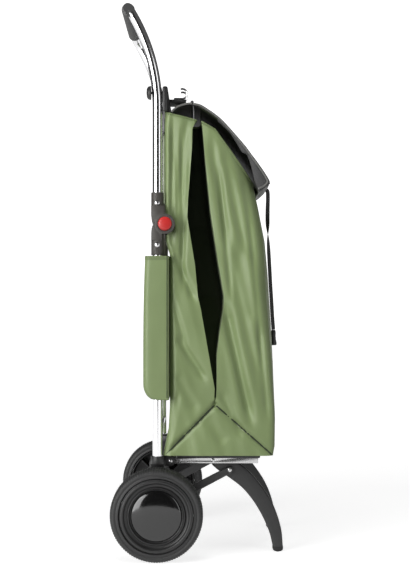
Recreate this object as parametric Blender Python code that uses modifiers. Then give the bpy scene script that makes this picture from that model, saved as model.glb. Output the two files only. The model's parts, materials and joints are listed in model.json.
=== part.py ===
"""Folding two-wheeled shopping trolley with a fabric bag, in metres. +X is forward, +Y is left, +Z is up.

The origin is on the ground, midway between the wheels and the front feet. The rear frame is two upright tubes
with a hinge in each. The upper tubes are one bent handle that folds forward and down. A platform under the
bag folds up on two legs and two braces, and the bag's lid turns up on a crease in front of the bag hanger.
"""
import math

import bmesh
import bpy
from mathutils import Matrix, Vector

# ---- driving dimensions ----
FIT = 0.0003              # gap kept between touching pieces
TUBE_R = 0.0088           # frame tubes, outside radius
TUBE_WALL = 0.0012
TUBE_X = -0.073           # axis of the upright tubes
TUBE_Y = 0.150            # half the distance between the upright tubes
TUBE_FOOT_Z = 0.171       # lower end of the lower tubes

WHEEL_R = 0.0825
WHEEL_WIDTH = 0.044
WHEEL_Y = TUBE_Y + 0.0305          # middle plane of each wheel
AXLE_X = -0.0735
AXLE_R = 0.005
TYRE_DEPTH = 0.0165       # tread to rim seat
RIM_WALL = 0.003
RIM_WIDTH = 0.040
HUB_R = 0.0125
WEB_THICKNESS = 0.0045
WEB_OUT = 0.0145          # outer face of the wheel's web, from the wheel's middle plane
HUB_CAP_R = 0.045
HUB_CAP_RISE = 0.0085
HUB_CAP_WALL = 0.0025
NUT_R = 0.009
NUT_THICKNESS = 0.002

HINGE_X = -0.059          # fold axis of the handle
HINGE_Z = 0.599
HINGE_DISC_R = 0.018
SLEEVE_WALL = 0.0022      # plastic sleeves round the tubes
SLEEVE_GAP = 0.0005       # sleeve ends to the hinge disc they pass
SLEEVE_TOP_Z = HINGE_Z + 0.057
SOCKET_FOOT_Z = HINGE_Z - 0.0555
INNER_DISC_Y = (TUBE_Y + 0.0055, TUBE_Y + 0.0120)
OUTER_DISC_Y = TUBE_Y + 0.0225     # outer face of the handle's hinge disc
CUP_FLOOR_Y = TUBE_Y + 0.0165      # floor of the cup that holds the button
STUB_R = 0.006
BUTTON_R = 0.0125
BUTTON_Y = (TUBE_Y + 0.0200, TUBE_Y + 0.0265)
RIVET_R = 0.0022
RIVET_HEAD_R = 0.0042
RIVET_HEAD = 0.0018
UPPER_RIVET_Z = HINGE_Z + 0.038
LOWER_RIVET_Z = HINGE_Z - 0.037

HANDLE_BEND_Z = 0.810     # the handle starts to lean back here
HANDLE_BEND_R = 0.330
HANDLE_LEAN = math.radians(28.8)
HANDLE_CORNER_R = 0.030
GRIP_R = 0.0135
GRIP_LENGTH = 0.220

HANGER_Z = (0.802, 0.847)
HANGER_DEPTH = 0.0095
HANGER_HALF = TUBE_Y + 0.008
ARM_FRONT_X = -0.023
ARM_Z = (0.837, 0.8435)
ARM_HALF = 0.026
HOOK_WIRE_R = 0.0019
HOOK_HALF = 0.020
KNOB_R = 0.0125
KNOB_DEPTH = 0.0085
KNOB_Z = 0.8355
KNOB_STEM_R = 0.0022

PLATFORM_PIVOT = (-0.050, 0.171)
LEG_PIVOT = (0.027, 0.170)
BRACE_PIVOT = (0.058, 0.151)
PIN_R = 0.0022
PIN_HEAD_R = 0.0036
PIN_HEAD = 0.0018
RAIL_Y = (TUBE_Y - 0.031, TUBE_Y - 0.027)  # flat steel rails of the platform
RAIL_Z = (0.1645, 0.1772)
RAIL_FRONT_X = 0.110
RAIL_REAR_X = -0.0562
TRAY_TOP_Z = 0.1815
TRAY_SKIRT_Z = 0.174
TRAY_SKIRT = 0.003
TRAY_REAR_X = -0.038
LEG_Y = (TUBE_Y - 0.058, TUBE_Y - 0.042)
LEG_HEAD_R = 0.0068
PAD_TOP_Z = 0.008
PAD_X = (0.1375, 0.1560)
PAD_RIM = 0.0005          # how far the pad stands out past the leg's sides
BRACE_Y = (TUBE_Y - 0.040, TUBE_Y - 0.0345)
BRACE_HALF = 0.0065

BRACKET_Y = (TUBE_Y - 0.0225, TUBE_Y)
BRACKET_HALF_X = 0.0140
BRACKET_EAR_Y = TUBE_Y - 0.010
SLEEVE_FOOT_Z = 0.1685
BRACKET_SLEEVE_TOP_Z = 0.182
CROSSBAR_Z = 0.215
CROSSBAR_R = 0.0065

POCKET_X = (-0.0985, -0.0520)
POCKET_Z = (0.284, 0.542)
POCKET_HALF = TUBE_Y + 0.0145
POCKET_WALL = 0.0018

BAG_HALF = TUBE_Y + 0.0045
BAG_WALL = 0.003
BAG_ROUND = 0.016
BAG_FLOOR_Z = 0.1823
BAG_REAR_X = -0.0515
LID_HALF = BAG_HALF + 0.0025
LID_THICKNESS = 0.003
LID_CREASE = (-0.0105, 0.8205)  # the lid turns up on this line
STRAP_WIDTH = 0.008
STRAP_END_R = 0.0065
STRAP_END_LENGTH = 0.030

BLACK = (0.018, 0.018, 0.019)
SIDES = (("left", 1), ("right", -1))


# ---- general makers ----
def clear_scene():
    for obj in list(bpy.data.objects):
        bpy.data.objects.remove(obj)


def new_collection(name):
    found = bpy.data.collections.new(name)
    bpy.context.scene.collection.children.link(found)
    return found


def paint(obj, colour, roughness, metallic=0.0):
    material = bpy.data.materials.new(obj.name)
    material.use_nodes = True
    shader = material.node_tree.nodes["Principled BSDF"]
    shader.inputs["Base Color"].default_value = (*colour, 1.0)
    shader.inputs["Roughness"].default_value = roughness
    shader.inputs["Metallic"].default_value = metallic
    obj.data.materials.append(material)
    return obj


def put(name, mesh, collection):
    obj = bpy.data.objects.new(name, mesh)
    collection.objects.link(obj)
    return obj


def smooth(mesh, angle=35):
    mesh.shade_smooth()
    mesh.set_sharp_from_angle(angle=math.radians(angle))


def box(name, low, high, collection, round_edges=0.0):
    """A box between two corners, its edges rounded if asked."""
    bm = bmesh.new()
    bmesh.ops.create_cube(bm, size=1.0)
    size = [high[i] - low[i] for i in range(3)]
    middle = [(high[i] + low[i]) / 2 for i in range(3)]
    bmesh.ops.scale(bm, vec=size, verts=bm.verts)
    bmesh.ops.translate(bm, vec=middle, verts=bm.verts)
    mesh = bpy.data.meshes.new(name)
    bm.to_mesh(mesh)
    bm.free()
    obj = put(name, mesh, collection)
    if round_edges:
        bevel(obj, round_edges)
    return obj


def bevel(obj, width, segments=2, angle=40):
    mod = obj.modifiers.new("rounded", "BEVEL")
    mod.width = width
    mod.segments = segments
    mod.limit_method = "ANGLE"
    mod.angle_limit = math.radians(angle)
    mod.use_clamp_overlap = True
    return mod


def rod(name, radius, start, end, collection, sides=20):
    """A round bar from start to end."""
    start, end = Vector(start), Vector(end)
    bm = bmesh.new()
    bmesh.ops.create_cone(
        bm, cap_ends=True, segments=sides, radius1=radius, radius2=radius, depth=(end - start).length
    )
    turn = (end - start).to_track_quat("Z", "Y").to_matrix().to_4x4()
    bmesh.ops.transform(bm, matrix=Matrix.Translation((start + end) / 2) @ turn, verts=bm.verts)
    mesh = bpy.data.meshes.new(name)
    bm.to_mesh(mesh)
    bm.free()
    smooth(mesh)
    return put(name, mesh, collection)


def turned(name, profile, place, axis, collection, steps=32):
    """A profile of (radius, height) spun about its height, which then points along axis from place.
    A closed ring's profile runs down its outer side. One that starts and ends at radius 0 is a solid."""
    mesh = bpy.data.meshes.new(name)
    count = len(profile)
    solid = profile[0][0] == 0 and profile[-1][0] == 0
    edges = [(i, (i + 1) % count) for i in range(count - 1 if solid else count)]
    mesh.from_pydata([(r, 0, h) for r, h in profile], edges, [])
    obj = put(name, mesh, collection)
    screw = obj.modifiers.new("turned", "SCREW")
    screw.axis = "Z"
    screw.angle = math.tau
    screw.steps = steps
    screw.render_steps = steps
    screw.use_merge_vertices = True
    screw.merge_threshold = 0.00001
    screw.use_smooth_shade = True
    obj.location = place
    obj.rotation_euler = Vector(axis).to_track_quat("Z", "Y").to_euler()
    return obj


def ring(name, inner, outer, low, high, place, axis, collection, steps=24):
    """A plain tube between two heights along axis."""
    profile = [(outer, high), (outer, low), (inner, low), (inner, high)]
    return turned(name, profile, place, axis, collection, steps)


def slab(name, outline, y_low, y_high, collection):
    """An outline of (x, z) points, given a thickness along Y."""
    bm = bmesh.new()
    verts = [bm.verts.new((x, y_low, z)) for x, z in outline]
    face = bm.faces.new(verts)
    grown = bmesh.ops.extrude_face_region(bm, geom=[face])
    moved = [v for v in grown["geom"] if isinstance(v, bmesh.types.BMVert)]
    bmesh.ops.translate(bm, vec=(0, y_high - y_low, 0), verts=moved)
    bmesh.ops.recalc_face_normals(bm, faces=bm.faces)
    mesh = bpy.data.meshes.new(name)
    bm.to_mesh(mesh)
    bm.free()
    return put(name, mesh, collection)


def wire(name, points, radius, collection, resolution=2, smooth_angle=50):
    """A round bar or wire through points, as a closed mesh."""
    curve = bpy.data.curves.new(name, "CURVE")
    curve.dimensions = "3D"
    curve.bevel_depth = radius
    curve.bevel_resolution = resolution
    curve.use_fill_caps = True
    spline = curve.splines.new("POLY")
    spline.points.add(len(points) - 1)
    for point, place in zip(spline.points, points):
        point.co = (*place, 1.0)
    made = bpy.data.objects.new(name + "_line", curve)
    collection.objects.link(made)
    bpy.context.view_layer.update()
    mesh = bpy.data.meshes.new_from_object(made.evaluated_get(bpy.context.evaluated_depsgraph_get()))
    mesh.name = name
    bm = bmesh.new()
    bm.from_mesh(mesh)
    bmesh.ops.remove_doubles(bm, verts=bm.verts, dist=0.00001)
    bm.to_mesh(mesh)
    bm.free()
    smooth(mesh, smooth_angle)
    obj = put(name, mesh, collection)
    obj.matrix_world = made.matrix_world
    bpy.data.objects.remove(made)
    return obj


def cut(obj, cutter, operation="DIFFERENCE"):
    """Cuts obj with a cutter, or joins the cutter to it. The cutter stays, as a wire guide."""
    cutter.hide_render = True
    cutter.display_type = "WIRE"
    mod = obj.modifiers.new(cutter.name, "BOOLEAN")
    mod.object = cutter
    mod.operation = operation
    mod.solver = "EXACT"
    return obj


def arc(centre, radius, start, end, count):
    """Points of a circle about centre from one angle to another, in degrees."""
    cx, cz = centre
    angles = [math.radians(start + (end - start) * i / (count - 1)) for i in range(count)]
    return [(cx + radius * math.cos(a), cz + radius * math.sin(a)) for a in angles]


def offset_line(points, distance):
    """An open line of (x, z) points moved sideways to its right by distance."""
    moved = []
    for i, (x, z) in enumerate(points):
        before = Vector(points[max(i - 1, 0)])
        after = Vector(points[min(i + 1, len(points) - 1)])
        run = (after - before).normalized()
        moved.append((x + run.y * distance, z - run.x * distance))
    return moved


def span(side, low, high):
    """A range along Y given for the left side, mirrored for the right."""
    return (low, high) if side > 0 else (-high, -low)


# ---- wheels and axle ----
def make_wheel(label, side, parts):
    place = (AXLE_X, side * WHEEL_Y, WHEEL_R)
    out = (0, side, 0)
    half = WHEEL_WIDTH / 2
    seat = WHEEL_R - TYRE_DEPTH
    shoulder = 0.006
    tyre = [
        (WHEEL_R - 0.001, half - shoulder - 0.004),
        (WHEEL_R, half - shoulder - 0.008),
        (WHEEL_R, -half + shoulder + 0.008),
        (WHEEL_R - 0.001, -half + shoulder + 0.004),
        (WHEEL_R - shoulder, -half + 0.001),
        (seat + 0.004, -half),
        (seat, -half + 0.002),
        (seat, half - 0.002),
        (seat + 0.004, half),
        (WHEEL_R - shoulder, half - 0.001),
    ]
    paint(turned(f"tyre_{label}", tyre, place, out, parts, 44), BLACK, 0.6)
    rim_r = seat - FIT
    edge = RIM_WIDTH / 2
    bore = AXLE_R + FIT
    rim = [
        (rim_r, edge),
        (rim_r, -edge),
        (rim_r - RIM_WALL, -edge),
        (rim_r - RIM_WALL, WEB_OUT - WEB_THICKNESS),
        (HUB_R, WEB_OUT - WEB_THICKNESS),
        (HUB_R, -edge),
        (bore, -edge),
        (bore, WEB_OUT),
        (rim_r - RIM_WALL, WEB_OUT),
        (rim_r - RIM_WALL, edge),
    ]
    paint(turned(f"rim_{label}", rim, place, out, parts, 40), BLACK, 0.35)
    base = WEB_OUT + FIT
    sphere = (HUB_CAP_R ** 2 + HUB_CAP_RISE ** 2) / (2 * HUB_CAP_RISE)
    reach = math.asin(HUB_CAP_R / sphere)
    outer = [
        (sphere * math.sin(reach * i / 6), base + HUB_CAP_RISE - sphere * (1 - math.cos(reach * i / 6)))
        for i in range(6)
    ]
    inner_r = HUB_CAP_R - HUB_CAP_WALL
    inner_rise = HUB_CAP_RISE - HUB_CAP_WALL
    inner = [(inner_r * i / 4, base + inner_rise * (1 - (i / 4) ** 2)) for i in range(4, -1, -1)]
    cap = outer + [(HUB_CAP_R, base + 0.0008), (HUB_CAP_R, base)] + inner
    paint(turned(f"hub_cap_{label}", cap, place, out, parts, 32), BLACK, 0.12)


def make_axle(parts):
    nut_in = WHEEL_Y + WEB_OUT + FIT
    end = nut_in + NUT_THICKNESS + 0.0008
    axle = rod("axle", AXLE_R, (AXLE_X, -end, WHEEL_R), (AXLE_X, end, WHEEL_R), parts)
    paint(axle, (0.6, 0.6, 0.6), 0.3, 1.0)
    for label, side in SIDES:
        place = (AXLE_X, 0, WHEEL_R)
        nut_out = nut_in + NUT_THICKNESS
        nut = ring(f"axle_nut_{label}", AXLE_R + FIT, NUT_R, nut_in, nut_out, place, (0, side, 0), parts)
        paint(nut, (0.6, 0.6, 0.6), 0.3, 1.0)


# ---- rear frame ----
def make_lower_frame(parts, cutters):
    for label, side in SIDES:
        place = (TUBE_X, side * TUBE_Y, 0)
        tube_top = HINGE_Z - HINGE_DISC_R - SLEEVE_GAP
        inner = TUBE_R - TUBE_WALL
        ends = TUBE_FOOT_Z, tube_top - 0.002
        tube = ring(f"lower_tube_{label}", inner, TUBE_R, *ends, place, (0, 0, 1), parts)
        cut(tube, rivet_bore(f"lower_rivet_bore_{label}", side, LOWER_RIVET_Z, cutters))
        paint(tube, (0.8, 0.8, 0.8), 0.2, 1.0)
        make_bracket(label, side, parts, cutters)
        make_socket(label, side, parts, cutters)
        make_rivet(f"rivet_lower_{label}", side, LOWER_RIVET_Z, parts)
    reach = TUBE_Y - TUBE_R - FIT
    bar = rod("lower_crossbar", CROSSBAR_R, (TUBE_X, -reach, CROSSBAR_Z), (TUBE_X, reach, CROSSBAR_Z), parts)
    paint(bar, (0.8, 0.8, 0.8), 0.25, 1.0)


def rivet_bore(name, side, z, cutters):
    """Cutter for a rivet's shank, through the outer wall of a sleeve and its tube."""
    start = TUBE_Y + TUBE_R - 0.004
    end = TUBE_Y + TUBE_R + 0.010
    return rod(name, RIVET_R + FIT, (TUBE_X, side * start, z), (TUBE_X, side * end, z), cutters, 12)


def make_rivet(name, side, z, parts):
    """A domed rivet that goes through a plastic sleeve and the tube's wall."""
    face = sleeve_radius() + FIT
    shank_end = TUBE_R - TUBE_WALL
    profile = [
        (0, face + RIVET_HEAD),
        (RIVET_HEAD_R * 0.6, face + RIVET_HEAD * 0.8),
        (RIVET_HEAD_R, face + RIVET_HEAD * 0.3),
        (RIVET_HEAD_R, face),
        (RIVET_R, face),
        (RIVET_R, shank_end),
        (0, shank_end),
    ]
    rivet = turned(name, profile, (TUBE_X, side * TUBE_Y, z), (0, side, 0), parts, 16)
    paint(rivet, (0.75, 0.75, 0.75), 0.2, 1.0)


def sleeve_radius():
    return TUBE_R + FIT + SLEEVE_WALL


def make_bracket(label, side, parts, cutters):
    """Moulded bracket: a sleeve for the tube, a neck down to the axle and an ear for the platform's pin."""
    y0, y1 = span(side, *BRACKET_Y)
    low = (AXLE_X - BRACKET_HALF_X, y0, WHEEL_R - BRACKET_HALF_X)
    high = (AXLE_X + BRACKET_HALF_X, y1, SLEEVE_FOOT_Z + 0.006)
    bracket = box(f"axle_bracket_{label}", low, high, parts, 0.004)
    sleeve = rod(
        f"bracket_sleeve_{label}", sleeve_radius() + 0.0005,
        (TUBE_X, side * TUBE_Y, SLEEVE_FOOT_Z), (TUBE_X, side * TUBE_Y, BRACKET_SLEEVE_TOP_Z), cutters, 24,
    )
    cut(bracket, sleeve, "UNION")
    px, pz = PLATFORM_PIVOT
    e0, e1 = span(side, BRACKET_Y[0] + 0.0002, BRACKET_EAR_Y)
    ear_r = 0.009
    outline = [(AXLE_X, pz - ear_r)] + arc(PLATFORM_PIVOT, ear_r, -90, 90, 9) + [(AXLE_X, pz + ear_r)]
    cut(bracket, slab(f"bracket_ear_{label}", outline, e0, e1, cutters), "UNION")
    top = (TUBE_X, side * TUBE_Y, BRACKET_SLEEVE_TOP_Z + 0.01)
    seat_foot = (TUBE_X, side * TUBE_Y, TUBE_FOOT_Z - FIT)
    cut(bracket, rod(f"bracket_seat_{label}", TUBE_R + FIT, seat_foot, top, cutters, 24))
    ends = (AXLE_X, -0.2, WHEEL_R), (AXLE_X, 0.2, WHEEL_R)
    cut(bracket, rod(f"bracket_axle_bore_{label}", AXLE_R + FIT, *ends, cutters))
    cut(bracket, rod(f"bracket_pin_bore_{label}", PIN_R + FIT, (px, -0.2, pz), (px, 0.2, pz), cutters, 12))
    paint(bracket, BLACK, 0.45)
    make_pin(f"platform_pin_{label}", side, PLATFORM_PIVOT, RAIL_Y[0] - 0.0005, BRACKET_EAR_Y, parts)


def make_pin(name, side, pivot, y_tip, y_face, parts):
    """A pin along Y whose domed head lies on the face at y_face."""
    face = y_face + FIT
    profile = [
        (0, face + PIN_HEAD),
        (PIN_HEAD_R * 0.65, face + PIN_HEAD * 0.8),
        (PIN_HEAD_R, face + PIN_HEAD * 0.3),
        (PIN_HEAD_R, face),
        (PIN_R, face),
        (PIN_R, y_tip),
        (0, y_tip),
    ]
    pin = turned(name, profile, (pivot[0], 0, pivot[1]), (0, side, 0), parts, 14)
    paint(pin, (0.75, 0.75, 0.75), 0.2, 1.0)


# ---- handle hinge ----
def make_socket(label, side, parts, cutters):
    """Lower half of the handle hinge: a socket on the lower tube, a disc and the stub it turns on."""
    top = HINGE_Z - HINGE_DISC_R + 0.004
    ends = (TUBE_X, side * TUBE_Y, SOCKET_FOOT_Z), (TUBE_X, side * TUBE_Y, top)
    socket = rod(f"hinge_socket_{label}", sleeve_radius(), *ends, parts, 24)
    inner, outer = INNER_DISC_Y
    disc_ends = (HINGE_X, side * inner, HINGE_Z), (HINGE_X, side * outer, HINGE_Z)
    cut(socket, rod(f"socket_disc_{label}", HINGE_DISC_R, *disc_ends, cutters, 32), "UNION")
    y0, y1 = span(side, inner + 0.0002, outer - 0.0002)
    neck_low = (TUBE_X - 0.008, y0, HINGE_Z - 0.028)
    neck_high = (TUBE_X + 0.008, y1, HINGE_Z - 0.004)
    cut(socket, box(f"socket_neck_{label}", neck_low, neck_high, cutters), "UNION")
    stub_ends = (HINGE_X, side * (outer - 0.003), HINGE_Z), (HINGE_X, side * CUP_FLOOR_Y, HINGE_Z)
    cut(socket, rod(f"socket_stub_{label}", STUB_R, *stub_ends, cutters, 20), "UNION")
    seat_top = HINGE_Z - HINGE_DISC_R - SLEEVE_GAP - 0.002 + FIT
    bore = (TUBE_X, side * TUBE_Y, SOCKET_FOOT_Z - 0.01), (TUBE_X, side * TUBE_Y, seat_top)
    cut(socket, rod(f"socket_seat_{label}", TUBE_R + FIT, *bore, cutters, 24))
    cut(socket, rivet_bore(f"socket_rivet_bore_{label}", side, LOWER_RIVET_Z, cutters))
    paint(socket, BLACK, 0.4)


def make_housing(label, side, parts, cutters):
    """Upper half of the handle hinge: a sleeve on the handle tube and a disc with a cup for the button."""
    foot = HINGE_Z + HINGE_DISC_R + SLEEVE_GAP + 0.0005
    ends = (TUBE_X, side * TUBE_Y, foot), (TUBE_X, side * TUBE_Y, SLEEVE_TOP_Z)
    housing = rod(f"hinge_housing_{label}", sleeve_radius(), *ends, parts, 24)
    y_in = INNER_DISC_Y[1] + FIT
    disc = (HINGE_X, side * y_in, HINGE_Z), (HINGE_X, side * OUTER_DISC_Y, HINGE_Z)
    cut(housing, rod(f"housing_disc_{label}", HINGE_DISC_R, *disc, cutters, 32), "UNION")
    web_low = (TUBE_X - 0.009, HINGE_Z + 0.004)
    web_high = (TUBE_X + 0.012, UPPER_RIVET_Z - 0.007)
    y0, y1 = span(side, y_in + 0.0002, OUTER_DISC_Y - 0.002)
    web = box(f"housing_web_{label}", (web_low[0], y0, web_low[1]), (web_high[0], y1, web_high[1]), cutters)
    cut(housing, web, "UNION")
    y0, y1 = span(side, TUBE_Y + 0.004, OUTER_DISC_Y - 0.0024)
    root_low = (web_low[0] + 0.001, y0, foot + 0.0002)
    root_high = (web_high[0] - 0.003, y1, UPPER_RIVET_Z - 0.009)
    cut(housing, box(f"housing_root_{label}", root_low, root_high, cutters), "UNION")
    seat = (TUBE_X, side * TUBE_Y, foot + 0.002), (TUBE_X, side * TUBE_Y, SLEEVE_TOP_Z + 0.01)
    cut(housing, rod(f"housing_seat_{label}", TUBE_R + FIT, *seat, cutters, 24))
    bore = (HINGE_X, side * (y_in - 0.001), HINGE_Z), (HINGE_X, side * (OUTER_DISC_Y + 0.01), HINGE_Z)
    cut(housing, rod(f"housing_stub_bore_{label}", STUB_R + FIT, *bore, cutters, 20))
    cup = (HINGE_X, side * CUP_FLOOR_Y, HINGE_Z), (HINGE_X, side * (OUTER_DISC_Y + 0.01), HINGE_Z)
    cut(housing, rod(f"housing_cup_{label}", BUTTON_R + FIT, *cup, cutters, 28))
    cut(housing, rivet_bore(f"housing_rivet_bore_{label}", side, UPPER_RIVET_Z, cutters))
    paint(housing, BLACK, 0.4)


def make_button(label, side, parts):
    low, high = BUTTON_Y
    profile = [
        (0, high),
        (BUTTON_R * 0.6, high - 0.0003),
        (BUTTON_R * 0.88, high - 0.0012),
        (BUTTON_R, high - 0.003),
        (BUTTON_R, low),
        (0, low),
    ]
    button = turned(f"button_{label}", profile, (HINGE_X, 0, HINGE_Z), (0, side, 0), parts, 28)
    paint(button, (0.70, 0.05, 0.05), 0.35)


# ---- handle ----
def handle_side_points():
    """(x, y, z) points of the handle's left half, from its foot up to the middle of the grip bar."""
    foot = HINGE_Z + HINGE_DISC_R + SLEEVE_GAP + 0.0005 + 0.002 + FIT
    points = [(TUBE_X, TUBE_Y, foot), (TUBE_X, TUBE_Y, HANDLE_BEND_Z - 0.02)]
    for i in range(9):
        a = HANDLE_LEAN * i / 8
        lean = HANDLE_BEND_R * (1 - math.cos(a))
        points.append((TUBE_X - lean, TUBE_Y, HANDLE_BEND_Z + HANDLE_BEND_R * math.sin(a)))
    x, y, z = points[-1]
    along = Vector((-math.sin(HANDLE_LEAN), 0, math.cos(HANDLE_LEAN)))
    for i in range(1, 6):
        a = math.pi / 2 * i / 5
        corner = Vector((x, y, z)) + along * (HANDLE_CORNER_R * math.sin(a))
        points.append((corner.x, y - HANDLE_CORNER_R * (1 - math.cos(a)), corner.z))
    return points


def lean_at(z):
    """How far behind TUBE_X the handle tube's axis is at a height above its bend."""
    return HANDLE_BEND_R - math.sqrt(HANDLE_BEND_R ** 2 - max(z - HANDLE_BEND_Z, 0) ** 2)


def grip_place():
    x, _, z = handle_side_points()[-1]
    return x, z


def make_handle(parts, cutters):
    left = handle_side_points()
    right = [(x, -y, z) for x, y, z in reversed(left)]
    tube = wire("handle_tube", left + right, TUBE_R, parts, 4)
    hollow = wire("handle_bore", left + right, TUBE_R - TUBE_WALL, cutters, 4)
    for end, shift in ((0, -0.01), (-1, -0.01)):
        x, y, z = (left + right)[end]
        start = (x, y, z + shift)
        mouth_r = TUBE_R - TUBE_WALL - 0.0001
        cut(hollow, rod(f"handle_mouth_{end + 2}", mouth_r, start, (x, y, z + 0.004), cutters, 12), "UNION")
    cut(tube, hollow)
    for label, side in SIDES:
        cut(tube, rivet_bore(f"handle_rivet_bore_{label}", side, UPPER_RIVET_Z, cutters))
        cut(tube, knob_bore(f"handle_knob_bore_{label}", side, cutters))
        make_housing(label, side, parts, cutters)
        make_rivet(f"rivet_upper_{label}", side, UPPER_RIVET_Z, parts)
        make_button(label, side, parts)
    paint(tube, (0.8, 0.8, 0.8), 0.2, 1.0)
    x, z = grip_place()
    half = GRIP_LENGTH / 2
    soft = 0.003
    bore = TUBE_R + FIT
    profile = [
        (GRIP_R, half - soft),
        (GRIP_R, -half + soft),
        (GRIP_R - soft, -half),
        (bore, -half),
        (bore, half),
        (GRIP_R - soft, half),
    ]
    grip = turned("handle_grip", profile, (x, 0, z), (0, 1, 0), parts, 24)
    paint(grip, (0.55, 0.55, 0.55), 0.6)


def knob_bore(name, side, cutters):
    ends = (TUBE_X - 0.03, side * TUBE_Y, KNOB_Z), (TUBE_X + 0.03, side * TUBE_Y, KNOB_Z)
    return rod(name, KNOB_STEM_R + FIT, *ends, cutters, 12)


def make_hanger(parts, cutters):
    """The bag hanger: a moulded bar across the tubes, with an arm that carries the wire hook."""
    rear = TUBE_X + TUBE_R + FIT
    front = rear + HANGER_DEPTH
    low = (rear, -HANGER_HALF, HANGER_Z[0])
    high = (front, HANGER_HALF, HANGER_Z[1])
    hanger = box("bag_hanger", low, high, parts, 0.003)
    arm_low = (front - 0.004, -ARM_HALF, ARM_Z[0])
    arm_high = (ARM_FRONT_X, ARM_HALF, ARM_Z[1])
    cut(hanger, box("hanger_arm", arm_low, arm_high, cutters), "UNION")
    for label, side in SIDES:
        cut(hanger, knob_bore(f"hanger_knob_bore_{label}", side, cutters))
        back = -(TUBE_X - TUBE_R - FIT) + lean_at(KNOB_Z + KNOB_R)
        profile = [
            (0, back + KNOB_DEPTH),
            (KNOB_R * 0.6, back + KNOB_DEPTH * 0.93),
            (KNOB_R * 0.92, back + KNOB_DEPTH * 0.65),
            (KNOB_R, back + KNOB_DEPTH * 0.25),
            (KNOB_R, back),
            (KNOB_STEM_R, back),
            (KNOB_STEM_R, -front + 0.001),
            (0, -front + 0.001),
        ]
        knob = turned(f"hanger_knob_{label}", profile, (0, side * TUBE_Y, KNOB_Z), (-1, 0, 0), parts, 24)
        paint(knob, BLACK, 0.3)
    paint(hanger, BLACK, 0.4)
    seat_z = ARM_Z[1] + HOOK_WIRE_R + FIT
    prong = arc((ARM_FRONT_X - 0.007, seat_z + 0.0095), 0.0095, -90, 110, 9)
    right = [(x, -HOOK_HALF, z) for x, z in reversed(prong)]
    left = [(x, HOOK_HALF, z) for x, z in prong]
    back_x = ARM_FRONT_X - 0.022
    loop = right + [(back_x, -HOOK_HALF, seat_z), (back_x, HOOK_HALF, seat_z)] + left
    hook = wire("cart_hook", loop, HOOK_WIRE_R, parts, 2)
    paint(hook, (0.6, 0.6, 0.6), 0.3, 1.0)


# ---- folding platform ----
def make_platform(parts, cutters):
    rail_in, rail_out = RAIL_Y
    frame = box(
        "platform_frame", (RAIL_REAR_X, -rail_out, RAIL_Z[0]), (RAIL_FRONT_X, rail_out, RAIL_Z[1]), parts
    )
    inside_low = (RAIL_REAR_X - 0.01, -rail_in, RAIL_Z[0] - 0.01)
    inside_high = (RAIL_FRONT_X - 0.004, rail_in, RAIL_Z[1] + 0.01)
    cut(frame, box("frame_inside", inside_low, inside_high, cutters))
    bores = ("a", PLATFORM_PIVOT), ("b", LEG_PIVOT)
    for mark, (x, z) in bores:
        cut(frame, rod(f"frame_bore_{mark}", PIN_R + FIT, (x, -0.2, z), (x, 0.2, z), cutters, 12))
    paint(frame, (0.7, 0.7, 0.7), 0.3, 1.0)
    inner = rail_out + FIT
    outer = inner + TRAY_SKIRT
    front = RAIL_FRONT_X + FIT + TRAY_SKIRT
    tray = box("platform_tray", (TRAY_REAR_X, -outer, TRAY_SKIRT_Z), (front, outer, TRAY_TOP_Z), parts, 0.002)
    hollow_low = (TRAY_REAR_X - 0.01, -inner, TRAY_SKIRT_Z - 0.01)
    hollow_high = (front - TRAY_SKIRT, inner, RAIL_Z[1] + FIT)
    cut(tray, box("tray_inside", hollow_low, hollow_high, cutters))
    paint(tray, BLACK, 0.45)


def leg_outline():
    """Curved leg from its round head on the platform's pin to its foot, without the pad."""
    front = [(0.0700, 0.1652), (0.0905, 0.1490), (0.1115, 0.1256), (0.1315, 0.0965), (0.1445, 0.0680)]
    foot = [(0.1530, 0.0380), (PAD_X[1] - 0.0004, PAD_TOP_Z + FIT), (PAD_X[0] + 0.0004, PAD_TOP_Z + FIT)]
    rear = [(0.1310, 0.0346), (0.1185, 0.0641), (0.1015, 0.0938), (0.0800, 0.1175)]
    rear += [(0.0510, 0.1395), (0.0320, 0.1530)]
    head = arc(LEG_PIVOT, LEG_HEAD_R, 225, 90, 7)
    return front + foot + rear + head


def make_legs(parts, cutters):
    for label, side in SIDES:
        y0, y1 = span(side, *LEG_Y)
        leg = slab(f"leg_{label}", leg_outline(), y0, y1, parts)
        bevel(leg, 0.0015, 1)
        x, z = LEG_PIVOT
        cut(leg, rod(f"leg_bore_{label}", PIN_R + FIT, (x, -0.2, z), (x, 0.2, z), cutters, 12))
        paint(leg, BLACK, 0.45)
        pad_low = (PAD_X[0], y0 - PAD_RIM, 0)
        pad_high = (PAD_X[1], y1 + PAD_RIM, PAD_TOP_Z)
        pad = box(f"foot_pad_{label}", pad_low, pad_high, parts, 0.0025)
        paint(pad, BLACK, 0.8)
        make_pin(f"leg_pin_{label}", side, LEG_PIVOT, LEG_Y[0] - 0.001, RAIL_Y[1], parts)
        make_brace(label, side, parts, cutters)


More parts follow.
